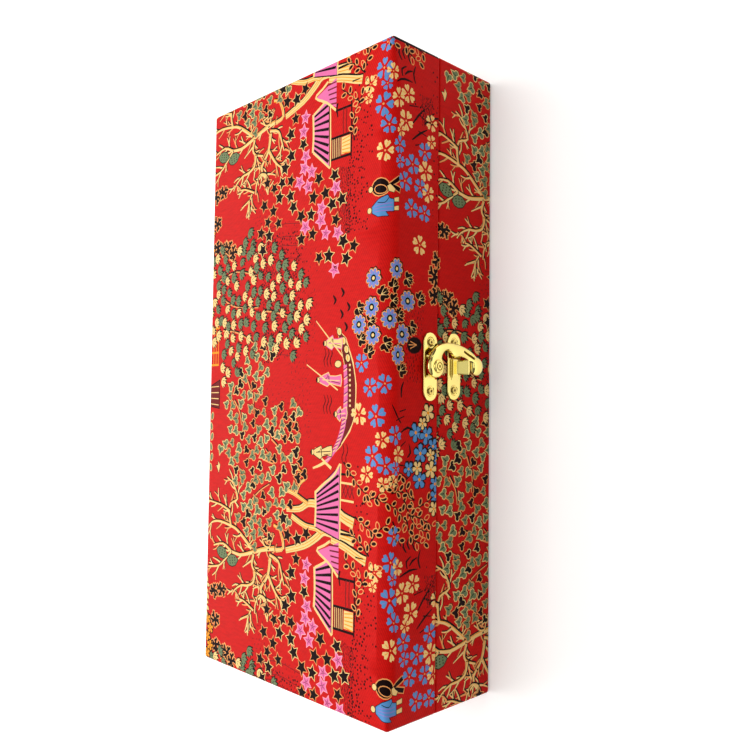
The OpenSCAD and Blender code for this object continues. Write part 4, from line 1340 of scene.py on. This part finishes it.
def base_panels(shapes):
    block = Block(SEAM - BASE_LOW, -1, False)
    h = block.height
    panels = []
    edge = HALF_WID - TURN_UNDER
    reach = HALF_WID + h + WALL_FLAT
    length, width = 2 * HALF_LEN, 2 * HALF_WID
    folds = steps(HALF_WID - EDGE_R, HALF_WID + EDGE_R, 5) + [HALF_WID + d for d in rim_folds(h)]
    plan = [(-STRIP_END, edge), (STRIP_END, edge)] + skirt(STRIP_END, INNER_X, reach, reach + TURN_IN)
    for side, start, shift in ((-1, 0, 2), (1, length + width, 76)):

        def place(p, side=side, start=start):
            s, d = belt_place(p, start)
            return -side * (s - HALF_LEN), HALF_WID + h - d

        panels.append(panel(
            shapes, plan, END_FOLDS, folds, place,
            lambda x, w, side=side: block.strip(x, side * w), (HALF_LEN + BAKE_GAP, shift - edge),
        ))
    under = -(TURN_UNDER + EDGE_R)
    rim = h - RIM_R - EDGE_R
    low = h + WALL_FLAT - EDGE_R
    plan = [(-edge, under), (edge, under), (edge, 0), (CAP_HALF, 0)]
    plan += skirt(CAP_HALF, INNER_Y, rim, low + TURN_IN) + [(-CAP_HALF, 0), (-edge, 0)]
    folds = [share * EDGE_R - EDGE_R for share in (-1, -0.6, -0.2, 0.2, 0.6, 1)]
    folds += [d - EDGE_R for d in rim_folds(h)]
    for end, start, shift in ((1, length, (72, 170)), (-1, -width, (222, 170))):

        def place(p, end=end, start=start):
            s, d = belt_place(p, start)
            return end * (s - HALF_WID), h - EDGE_R - d

        panels.append(panel(
            shapes, plan, [], folds, place, lambda y, d, e=end: block.cap(y, d, e), shift,
        ))
    return panels


# Stipple and hatching, scattered by Geometry Nodes


def stipple_pieces(name, outlines):
    """A collection of tiny outlines for the scatter, one object each."""
    pieces = bpy.data.collections.new(name)
    for k, (yarn, outline) in enumerate(outlines):
        mesh = outlines_mesh(f"{name}_{k}", [(YARN_NAMES.index(yarn), outline)])
        pieces.objects.link(bpy.data.objects.new(f"{name}_{k}", mesh))
    return pieces


def scattered(tree, region, pieces, spacing, seed, turn, fade=None):
    """Outlines scattered over a region. fade gives how dense they are at each of its corners."""
    mesh = bpy.data.meshes.new("region")
    mesh.from_pydata([(x, v, 0) for x, v in region], [], [list(range(len(region)))])
    density = mesh.attributes.new("density", "FLOAT", "POINT")
    density.data.foreach_set("value", fade or [1.0] * len(region))
    return outlines_of(run_tree(
        tree, mesh, Pieces=pieces, Spacing=spacing, Seed=seed, Turn=turn, Smallest=0.8, Largest=1.2
    ))


def with_stipple(cell):
    """The cell's shadings go under its motifs."""
    tree = scatter_tree(bpy.data.materials["red_satin_weave"])
    dash = [(-0.55, -0.12), (0.5, -0.28), (0.58, 0.1), (-0.45, 0.28)]
    slash = [(-0.4, -0.5), (-0.15, -0.6), (0.4, 0.5), (0.15, 0.6)]
    dots = stipple_pieces("stipple_dots", [("black", ring_of(5, 0.58)), ("black", ring_of(4, 0.56, 0.4))])
    dashes = stipple_pieces("stipple_dashes", [("black", dash), ("wine", dash)])
    hatch = stipple_pieces("stipple_hatch", [("wine", slash), ("wine", dash)])
    # Region, pieces, spacing, seed, greatest turn, and the density at the region's corners
    shade = [
        ([(0, 108), (33, 109), (30, 119), (0, 119)], dashes, 0.88, 3, 0.4, None),
        ([(0, 116), (34, 117), (36, 130), (0, 131)], dots, 1.25, 4, 0.8, [1.0, 1.0, 0.25, 0.15]),
        ([(33, 119), (62, 119), (58, 133), (34, 133)], dots, 1.6, 5, 0.8, [1.0, 0.8, 0.2, 0.3]),
        ([(60, 119), (112, 119), (110, 128), (60, 130)], dots, 2.2, 17, 0.8, [0.8, 0.6, 0.1, 0.1]),
        ([(160, 45), (232, 45), (228, 92), (162, 90)], hatch, 2.0, 6, 0.4, [0.7, 0.9, 0.5, 0.5]),
        ([(158, 50), (226, 46), (222, 84), (164, 80)], dots, 1.25, 16, 0.8, [0.9, 1.0, 0.25, 0.25]),
        ([(50, 157), (64, 157), (68, 171.5), (50, 171.5)], dots, 1.1, 7, 0.8, [0.3, 0.05, 0.2, 1.0]),
        ([(48, 165), (62, 163), (62, 171.5), (50, 171.5)], dashes, 0.85, 18, 0.8, None),
        ([(148, 150), (182, 150), (182, 161), (148, 160)], dashes, 1.5, 8, 0.4, None),
        ([(2, 172), (214, 172), (214, 188), (2, 188)], dots, 2.4, 9, 0.8, [0.5, 0.8, 0.4, 0.7]),
        ([(120, 74), (158, 70), (160, 86), (122, 88)], hatch, 2.4, 10, 0.4, None),
        ([(100, 44), (150, 44), (150, 70), (100, 72)], hatch, 2.8, 11, 0.4, None),
        ([(0, 44), (34, 44), (34, 54), (0, 56)], hatch, 2.2, 12, 0.4, None),
    ]
    under = []
    for row in shade:
        under += scattered(tree, *row)
    return under + cell.shapes


def woven_shapes():
    """All outlines of the cloth: the cell, repeated over what the box needs."""
    cell = with_stipple(woven_cell(random.Random(11)))
    tree = repeat_tree(bpy.data.materials["red_satin_weave"])
    made = run_tree(
        tree, outlines_mesh("woven_cell", cell), Repeat_Across=REPEAT_ACROSS, Repeat_Down=REPEAT_DOWN,
        Columns=6, Rows=3, First_Column=-1, First_Row=-1,
    )
    return outlines_of(made)


# Brass


# The grain at which brass is remeshed, in millimetres
METAL_VOXEL = 0.15


def brass_material(name, colour, dull, roughness, scratch):
    """Cast and stamped brass: polished on what stands out; in the hollows the colour is painted shade in dark
    brown, with old polish there too.
    """
    material, tree, shader = new_material(name)
    place = add(tree, "ShaderNodeTexCoord").outputs["Object"]
    cloudy = noise(tree, place, 1 / (6 * MM), 3.0)
    lines = noise(tree, place, (900.0, 5200.0, 2600.0), 2.0)
    # Painted shade: ambient occlusion darkens the colour in the hollows and in the gaps between parts, mixed with
    # noise for real tone
    occlusion_shade = add(tree, "ShaderNodeAmbientOcclusion", {"Distance": 1.6 * MM}, samples=8)
    shade_and_wear = mixed(tree, 0.12, occlusion_shade.outputs["AO"], cloudy)
    rough = add(
        tree, "ShaderNodeMapRange",
        {"Value": shade_and_wear, "From Min": 0.4, "From Max": 0.85, "To Min": roughness + 0.25, "To Max": roughness},
    )
    # The colour runs from dark brown in the hollows (painted shade, with old polish) to the polished colour on
    # what stands out
    tone = ramp(tree, shade_and_wear, (0.4, "#2C1A06"), (0.84, colour), (0.66, dull))
    set_shader(
        tree, shader, Base_Color=tone, Metallic=1.0, Roughness=rough.outputs[0],
        Normal=relief(tree, lines, scratch, 0.02),
    )
    return material


def softened(mesh, passes):
    """Metal with its edges softened, as casting, stamping and polishing leave them."""
    made = modified_mesh(
        mesh, ("REMESH", {"mode": "VOXEL", "voxel_size": METAL_VOXEL * MM}),
        ("SMOOTH", {"factor": 0.5, "iterations": passes}),
    )
    made.materials.clear()
    shade_smooth(made)
    return made


def rounded_metal(node):
    """A CAD piece of brass with its edges softened."""
    bm = bmesh.new()
    bm.from_mesh(nodes[node].data)
    bmesh.ops.remove_doubles(bm, verts=bm.verts, dist=0.001 * MM)
    mesh = mesh_of(bm, "rounded")
    mesh.materials.clear()
    return softened(mesh, 4)


# The groove in the front of the hook's lower arm, from the pivot, and its half width and depth
GROOVE = (Vector((7.6, -18.8)), Vector((4.8, -25.4)))
GROOVE_HALF = 0.62
GROOVE_DEEP = 1.1
# How much the catch block's top falls to the front, and how far out it starts to
CATCH_SLOPE = 0.5
CATCH_ROOT = 2.4


def slope_catch(mesh):
    """Lets the top of the catch block fall to the front, as the cast one does."""
    front = -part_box("base_brocade")[0].y
    face = -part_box("catch_plate")[0].y
    heights = [v.co.z for v in mesh.vertices if -v.co.y > face - 1.0 * MM]
    foot, top = min(heights), max(heights)
    for v in mesh.vertices:
        beyond = -v.co.y - front - CATCH_ROOT * MM
        if beyond > 0:
            v.co.z -= CATCH_SLOPE * beyond * max(v.co.z - foot, 0) / (top - foot)


def cut_groove(mesh, pivot):
    """Presses the slanting groove into the hook's face."""
    back = -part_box("horn_hook")[1].y / MM
    start, run = GROOVE[0], GROOVE[1] - GROOVE[0]
    for v in mesh.vertices:
        spot = Vector((v.co.x - pivot[0], v.co.z - pivot[2])) / MM
        along = min(max((spot - start).dot(run) / run.length_squared, 0), 1)
        away = (spot - start - run * along).length / GROOVE_HALF
        if away < 1 and -v.co.y / MM > back + 0.8:
            v.co.y += GROOVE_DEEP * (1 - away**2) * MM


def turned_metal(name, profiles):
    """Lathe-turned solids in one mesh: (profile, middle) for each, as lathe takes them."""
    bm = bmesh.new()
    for profile, at in profiles:
        lathe(bm, profile, at, 40)
    bmesh.ops.recalc_face_normals(bm, faces=bm.faces)
    mesh = mesh_of(bm, name, MM)
    shade_smooth(mesh)
    mesh.set_sharp_from_angle(angle=math.radians(50))
    return mesh


def latch_nails(node):
    """Two round-headed nails with dimpled heads, where the CAD nails are."""
    low, high = (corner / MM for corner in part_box(node))
    r = (high.z - low.z) / 2
    top, back = -low.y, -high.y
    profile = [
        (0.02, top - 0.55), (0.38, top - 0.5), (0.6, top - 0.06), (0.95, top), (r - 0.25, top - 0.22),
        (r, top - 0.62), (r, top - 0.8), (0.65, top - 0.8), (0.65, back + 0.8), (0.02, back),
    ]
    return [(profile, (x, low.z + r)) for x in (low.x + r, high.x - r)]


def rivet_profile():
    """The rivet with the ring and the dimple that its setting punch left."""
    low, high = (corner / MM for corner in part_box("hook_rivet"))
    top, back, r = -low.y, -high.y, (high.z - low.z) / 2
    return [([
        (0.02, top - 0.5), (0.45, top - 0.45), (0.7, top), (1.3, top - 0.02), (1.5, top - 0.4),
        (1.8, top - 0.42), (2.0, top - 0.1), (2.3, top - 0.14), (r - 0.1, top - 0.45), (r, top - 0.9),
        (1.5, top - 0.9), (1.5, back + 0.7), (2.2, back + 0.7), (2.0, back), (0.02, back),
    ], ((low.x + high.x) / 2, (low.z + high.z) / 2))]


# The horn hook: (right of the pivot, above it, half width, lift off the plate), in millimetres
HORN = [
    (1.0, 0.2, 3.8, 0.0), (3.6, -0.4, 3.9, 0.0), (6.1, -1.6, 3.0, 0.0), (8.3, -4.2, 2.2, 0.0),
    (9.4, -7.6, 1.9, 0.0), (9.1, -11.0, 2.3, 0.0), (7.9, -14.8, 3.2, 0.0), (7.7, -18.2, 2.7, 0.0),
    (6.8, -21.8, 2.4, 0.1), (5.0, -25.2, 2.4, 0.4), (2.6, -27.8, 2.8, 0.7), (1.3, -28.9, 3.2, 0.8),
]
KNOB = (1.3, -28.5)
KNOB_R = 4.4
KNOB_T = 3.6
HOOK_T = 2.5
RING_R = 5.2
BORE_R = 1.6


def lathe(bm, profile, at, steps_round=64):
    """A closed solid turned round an axis that points out of the box's front: profile is (radius, out)."""
    rings = []
    for k in range(steps_round):
        a = math.tau * k / steps_round
        c, s = math.cos(a), math.sin(a)
        rings.append([bm.verts.new((at[0] + r * c, -out, at[1] + r * s)) for r, out in profile])
    for a, b in zip(rings, rings[1:] + rings[:1]):
        for j in range(len(profile)):
            i = (j + 1) % len(profile)
            bm.faces.new((a[j], a[i], b[i], b[j]))


def hook_object(material):
    """The hook as it was cast: a domed horn grown together with its ring and its knob."""
    pivot = next(j for j in frame["joints"] if j["name"] == "hook_pivot")["pos_m"]
    centre_x, centre_z = pivot[0] / MM, pivot[2] / MM
    back = -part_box("horn_hook")[1].y / MM
    dome = [(math.cos(a), 0.3 + 0.7 * math.sin(a)) for a in (math.pi * j / 14 for j in range(15))]
    bm = bmesh.new()
    line = smooth_line(HORN, 8)
    rings = []
    for k, (right, up, half, lift) in enumerate(line):
        before, after = line[max(k - 1, 0)], line[min(k + 1, len(line) - 1)]
        way = Vector((after[0] - before[0], after[1] - before[1])).normalized()
        across = Vector((-way.y, way.x))
        rings.append([
            bm.verts.new((
                centre_x + right + across.x * half * side, -(back + lift + HOOK_T * out),
                centre_z + up + across.y * half * side,
            ))
            for side, out in [(1.0, 0.0), *dome, (-1.0, 0.0)]
        ])
    for a, b in zip(rings, rings[1:]):
        for j in range(len(a)):
            i = (j + 1) % len(a)
            bm.faces.new((a[j], a[i], b[i], b[j]))
    bm.faces.new(rings[0])
    bm.faces.new(rings[-1][::-1])
    dome = [
        (RING_R * math.cos(a) * 0.4 + RING_R * 0.6, 0.3 + 0.7 * math.sin(a)) for a in steps(0, math.pi / 2,
                                                                                            8)
    ]
    profile = [(BORE_R, 0.0), (RING_R, 0.0)] + dome + [(BORE_R, 1.0)]
    lathe(bm, [(r, back + HOOK_T * out) for r, out in profile], (centre_x, centre_z))
    dome = [(KNOB_R * math.cos(a), 0.32 + 0.68 * math.sin(a)) for a in steps(0, math.pi / 2, 12)[:-1]]
    profile = [(0.02, 0.0), (KNOB_R * 0.9, 0.0)] + dome + [(0.02, 1.0)]
    knob = (centre_x + KNOB[0], centre_z + KNOB[1])
    lathe(bm, [(r, back + KNOB_T * out) for r, out in profile], knob)
    bmesh.ops.recalc_face_normals(bm, faces=bm.faces)
    made = softened(mesh_of(bm, "cast_hook", MM), 5)
    cut_groove(made, pivot)
    made.materials.append(material)
    return new_object("cast_horn_hook", made)


# Satin pads and linings, card and board


def satin_material():
    """Gold satin: long floats give a bright band along the threads, and the cloth shows faint ripples."""
    material, tree, shader = new_material("gold_satin")
    place = add(tree, "ShaderNodeTexCoord").outputs["Object"]
    threads = add(
        tree, "ShaderNodeTexWave", {"Vector": place, "Scale": BAND / (0.5 * MM), "Distortion": 0.5},
        wave_type="BANDS", bands_direction="X",
    )
    ripples = noise(tree, place, (9.0, 46.0, 30.0), 3.0)
    weave = relief(tree, threads.outputs["Fac"], 0.35, 0.05)
    set_shader(
        tree, shader, Base_Color=ramp(tree, ripples, (0.3, "#D6A445"), (0.7, "#DDAF52")),
        Normal=relief(tree, ripples, 0.4, 1.5, weave), Roughness=0.3, Sheen_Weight=0.2, Anisotropic=0.5,
    )
    return material


def card_material():
    """Black pressed card with a fine pebble."""
    material, tree, shader = new_material("black_pressed_card")
    place = add(tree, "ShaderNodeTexCoord").outputs["Object"]
    grain = add(tree, "ShaderNodeTexVoronoi", {"Vector": place,
                                               "Scale": 1 / (0.8 * MM)}).outputs["Distance"]
    set_shader(
        tree, shader, Base_Color=ramp(tree, grain, (0.0, "#1C1918"), (1.0, "#2B2624")),
        Normal=relief(tree, grain, 0.5, 0.08), Roughness=0.62,
    )
    return material


def board_material():
    """Raw fibreboard: short pressed fibres, dull and warm."""
    material, tree, shader = new_material("raw_fibreboard")
    place = add(tree, "ShaderNodeTexCoord").outputs["Object"]
    fibres = noise(tree, place, 1 / (1.2 * MM), 6.0)
    set_shader(
        tree, shader, Base_Color=ramp(tree, fibres, (0.35, "#9A7B52"), (0.65, "#C2A377")),
        Normal=relief(tree, fibres, 0.4, 0.1), Roughness=0.85,
    )
    return material


# The pads: faces along and across, how far the sides are drawn in (mm), and the height of the side seam
PAD_FACES = (60, 28)
PAD_DRAW = 1.5
PAD_SEAM = 0.24


def pad_object(name, node, material, upward):
    """A satin pad: a sleeve swelled by its wadding, with its sides drawn in between the corners."""
    low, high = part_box(node)
    middle = (low + high) / 2
    half_x, half_y, thick = (high.x - low.x) / 2, (high.y - low.y) / 2, high.z - low.z
    bm = bmesh.new()
    for top in (True, False):
        grid = []
        for j in range(PAD_FACES[1] + 1):
            row = []
            for i in range(PAD_FACES[0] + 1):
                s, t = 2 * i / PAD_FACES[0] - 1, 2 * j / PAD_FACES[1] - 1
                s, t = math.copysign(abs(s) ** 0.8, s), math.copysign(abs(t) ** 0.8, t)
                draw = PAD_DRAW * MM * (1 - t * t) * abs(s) ** 6, PAD_DRAW * MM * (1 - s * s) * abs(t) ** 6
                x = middle.x + s * half_x - math.copysign(draw[0], s)
                y = middle.y + t * half_y - math.copysign(draw[1], t)
                swell = ((1 - abs(s) ** 9) * (1 - abs(t) ** 7)) ** 0.5
                crown = (1 - s * s) ** 0.5 * (1 - t * t) ** 0.5
                level = thick * PAD_SEAM * (1 - swell)
                if top:
                    level = thick * (PAD_SEAM + (0.5 * swell + 0.24 * crown))
                z = low.z + level if upward else high.z - level
                row.append(bm.verts.new((x, y, z)))
            grid.append(row)
        for near, far in zip(grid, grid[1:]):
            for i in range(PAD_FACES[0]):
                quad = (near[i], near[i + 1], far[i + 1], far[i])
                bm.faces.new(quad if top == upward else quad[::-1])
    bmesh.ops.remove_doubles(bm, verts=bm.verts, dist=0.01 * MM)
    bmesh.ops.recalc_face_normals(bm, faces=bm.faces)
    mesh = mesh_of(bm, name)
    mesh = swelled(mesh, low, high)
    mesh.materials.append(material)
    shade_smooth(mesh)
    return new_object(name, mesh)


# The wadding's push on the satin, how far it may move the satin, and the mesh that it pushes
PAD_PRESSURE = 4.0
PAD_CAP = 2.2
PAD_VOXEL = 4.0
PAD_FRAMES = 20
PAD_START = 0.86


def swelled(mesh, low, high):
    """The pad's sleeve blown up by its wadding in a cloth simulation, kept inside the CAD pad's space."""
    start = modified_mesh(mesh, ("REMESH", {"mode": "VOXEL", "voxel_size": PAD_VOXEL * MM}))
    middle = (low + high) / 2
    for v in start.vertices:
        v.co = middle + (v.co - middle) * PAD_START
    work = new_object("sleeve", start)
    cloth = work.modifiers.new("wadding", "CLOTH")
    cloth.settings.use_pressure = True
    cloth.settings.uniform_pressure_force = PAD_PRESSURE
    cloth.settings.effector_weights.gravity = 0
    cloth.point_cache.frame_end = PAD_FRAMES
    for step in range(1, PAD_FRAMES + 1):
        bpy.context.scene.frame_set(step)
    made = evaluated_mesh(work)
    bpy.data.objects.remove(work)
    bpy.context.scene.frame_set(1)
    for before, after in zip(start.vertices, made.vertices):
        moved = after.co - before.co
        after.co = before.co + moved * min(1.0, PAD_CAP * MM / max(moved.length, 1e-9))
    least, most = ([pick(v.co[k] for v in made.vertices) for k in range(3)] for pick in (min, max))
    for v in made.vertices:
        for k in range(3):
            share = (v.co[k] - least[k]) / (most[k] - least[k])
            v.co[k] = low[k] + share * (high[k] - low[k])
    return modified_mesh(made, ("SUBSURF", {"levels": 1, "render_levels": 1}))


# Dressing the frame


def stand_for(made, body, node):
    """Puts a finished piece on its body, in the place of its CAD node."""
    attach(made, body)
    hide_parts(node)


def dress():
    materials = [ground_material()] + [yarn_material(name) for name in YARN_NAMES[1:]]
    shapes = woven_shapes()
    # A near-black band along the ends of the lid's front: painted shade of the gap where the cloth folds round the
    # corner, with black threads there too
    black, far = YARN_NAMES.index("black"), 2 * HALF_LEN
    fold_gap_shade = [
        (black, [(far - 2.0, 141), (far + 1.6, 137), (far + 1.6, 171), (far - 1.5, 171)]),
        (black, [(-1.6, 142), (0.5, 146), (0.2, 171), (-1.6, 171)]),
    ]
    lid = cloth_object("lid_brocade_cloth", lid_panels(shapes + fold_gap_shade), LID_BAKE, materials)
    base = cloth_object("base_brocade_cloth", base_panels(shapes), BASE_BAKE, materials)
    stand_for(lid, "lid", "lid_brocade")
    stand_for(base, "base", "base_brocade")

    latch = brass_material("polished_latch_brass", "#F4E286", "#C9A63E", 0.1, 0.1)
    nail = brass_material("dull_nail_brass", "#D8BE6A", "#8C6E2E", 0.2, 0.15)
    satin = satin_material()
    finishes = {
        "latch_brass": latch, "nail_brass": nail, "satin": satin, "satin_pad": satin,
        "black_card": card_material(), "board": board_material(), "brocade": materials[0],
    }
    slots = {part["node"]: part["material_slot"] for part in frame["record"]["subparts"]}
    for name, node in nodes.items():
        for k in range(len(node.material_slots)):
            node.material_slots[k].material = finishes[slots[name]]
    stand_for(hook_object(latch), "hook", "horn_hook")
    catch = rounded_metal("catch_plate")
    slope_catch(catch)
    for node, body, mesh, slot in (
        ("catch_plate", "base", catch, "latch_brass"),
        ("hook_plate", "lid", rounded_metal("hook_plate"), "latch_brass"),
        ("hook_rivet", "lid", turned_metal("rivet", rivet_profile()), "latch_brass"),
        ("catch_plate_nails", "base", turned_metal("nails", latch_nails("catch_plate_nails")),
         "nail_brass"),
        ("hook_plate_nails", "lid", turned_metal("nails", latch_nails("hook_plate_nails")), "nail_brass"),
    ):
        mesh.materials.append(finishes[slot])
        stand_for(new_object("polished_" + node, mesh), body, node)
    for name, node, body, upward in (
        ("base_satin_pad", "base_pad", "base", True), ("lid_satin_pad", "lid_pad", "lid", False),
    ):
        pad = pad_object(name, node, satin, upward)
        stand_for(pad, body, node)


# Floor, lights and camera


# The way to the bright side of the room: behind the box and above it
ROOM_BRIGHT = (0.0, 0.3, 0.95)

# How bright the floor is to the camera near the box, and in a mirror
FLOOR_GLOW = 0.32
FLOOR_MIRRORED = 0.52


def floor_and_world():
    mesh = bpy.data.meshes.new("floor")
    mesh.from_pydata([(-3, -3, 0), (3, -3, 0), (3, 3, 0), (-3, 3, 0)], [], [(0, 1, 2, 3)])
    floor = new_object("floor", mesh)
    material, tree, shader = new_material("pale_floor")
    path = add(tree, "ShaderNodeLightPath")
    place = add(tree, "ShaderNodeTexCoord").outputs["Object"]
    away = add(tree, "ShaderNodeVectorMath", {0: place}, operation="LENGTH")
    fading = add(
        tree, "ShaderNodeMapRange",
        {"Value": away.outputs["Value"], "From Min": 0.6, "From Max": 2.6,
         "To Min": FLOOR_GLOW, "To Max": 1.0},
    )
    mirrored = worked(tree, "MULTIPLY", path.outputs["Is Glossy Ray"], FLOOR_MIRRORED)
    glow = worked(tree, "MULTIPLY_ADD", path.outputs["Is Camera Ray"], fading.outputs[0], mirrored)
    set_shader(
        tree, shader, Base_Color=linear("#EDEBE8"), Roughness=0.9, Emission_Color=(1, 1, 1, 1),
        Emission_Strength=glow,
    )
    mesh.materials.append(material)

    world = bpy.data.worlds.new("studio")
    world.use_nodes = True
    bpy.context.scene.world = world
    tree = world.node_tree
    tree.nodes.clear()
    path = add(tree, "ShaderNodeLightPath")
    seen = worked(tree, "MAXIMUM", path.outputs["Is Camera Ray"], path.outputs["Is Transmission Ray"])
    way = add(tree, "ShaderNodeTexCoord").outputs["Generated"]
    towards = add(tree, "ShaderNodeVectorMath", {0: way, 1: ROOM_BRIGHT}, operation="DOT_PRODUCT")
    room = add(
        tree, "ShaderNodeMapRange",
        {"Value": towards.outputs["Value"], "From Min": -0.1, "From Max": 0.9, "To Min": 0.03,
         "To Max": 0.78},
    )
    strength = mixed(tree, seen, room.outputs[0], 1.0)
    sky = add(tree, "ShaderNodeBackground", {"Color": (1, 1, 1, 1), "Strength": strength})
    add(tree, "ShaderNodeOutputWorld", {"Surface": sky.outputs[0]})


def lamp(name, at, target, size, power):
    data = bpy.data.lights.new(name, "AREA")
    data.shape = "RECTANGLE"
    data.size, data.size_y = size
    data.energy = power
    made = bpy.data.objects.new(name, data)
    made.location = at
    made.rotation_euler = (Vector(target) - Vector(at)).to_track_quat("-Z", "Y").to_euler()
    bpy.context.scene.collection.objects.link(made)


# The photograph's camera: its place in millimetres, and its right and its up
CAMERA_AT = Vector((-15.32, -302.70, 309.25))
CAMERA_RIGHT = Vector((0.01055803, -0.70182237, -0.71227375))
CAMERA_UP = Vector((0.99881795, -0.02639725, 0.04081539))


def lights_and_camera():
    lamp("window_behind", (0.0, 1.5, 1.1), (0, 0, 0.05), (2.0, 1.2), 26)
    lamp("soft_top", (0.1, 0.3, 1.7), (0, 0, 0.05), (1.4, 1.2), 12)
    lamp("front_fill", (0.4, -1.8, 0.5), (0, 0, 0.03), (1.6, 0.8), 3.9)
    data = bpy.data.cameras.new("photo_camera")
    data.sensor_width = 36.0
    data.lens = 37.4
    camera = bpy.data.objects.new("photo_camera", data)
    columns = [CAMERA_RIGHT, CAMERA_UP, CAMERA_RIGHT.cross(CAMERA_UP), CAMERA_AT * MM]
    camera.matrix_world = Matrix([*zip(*columns), (0, 0, 0, 1)])
    bpy.context.scene.collection.objects.link(camera)
    bpy.context.scene.camera = camera
    bpy.context.scene.view_settings.view_transform = "Standard"


dress()
floor_and_world()
lights_and_camera()
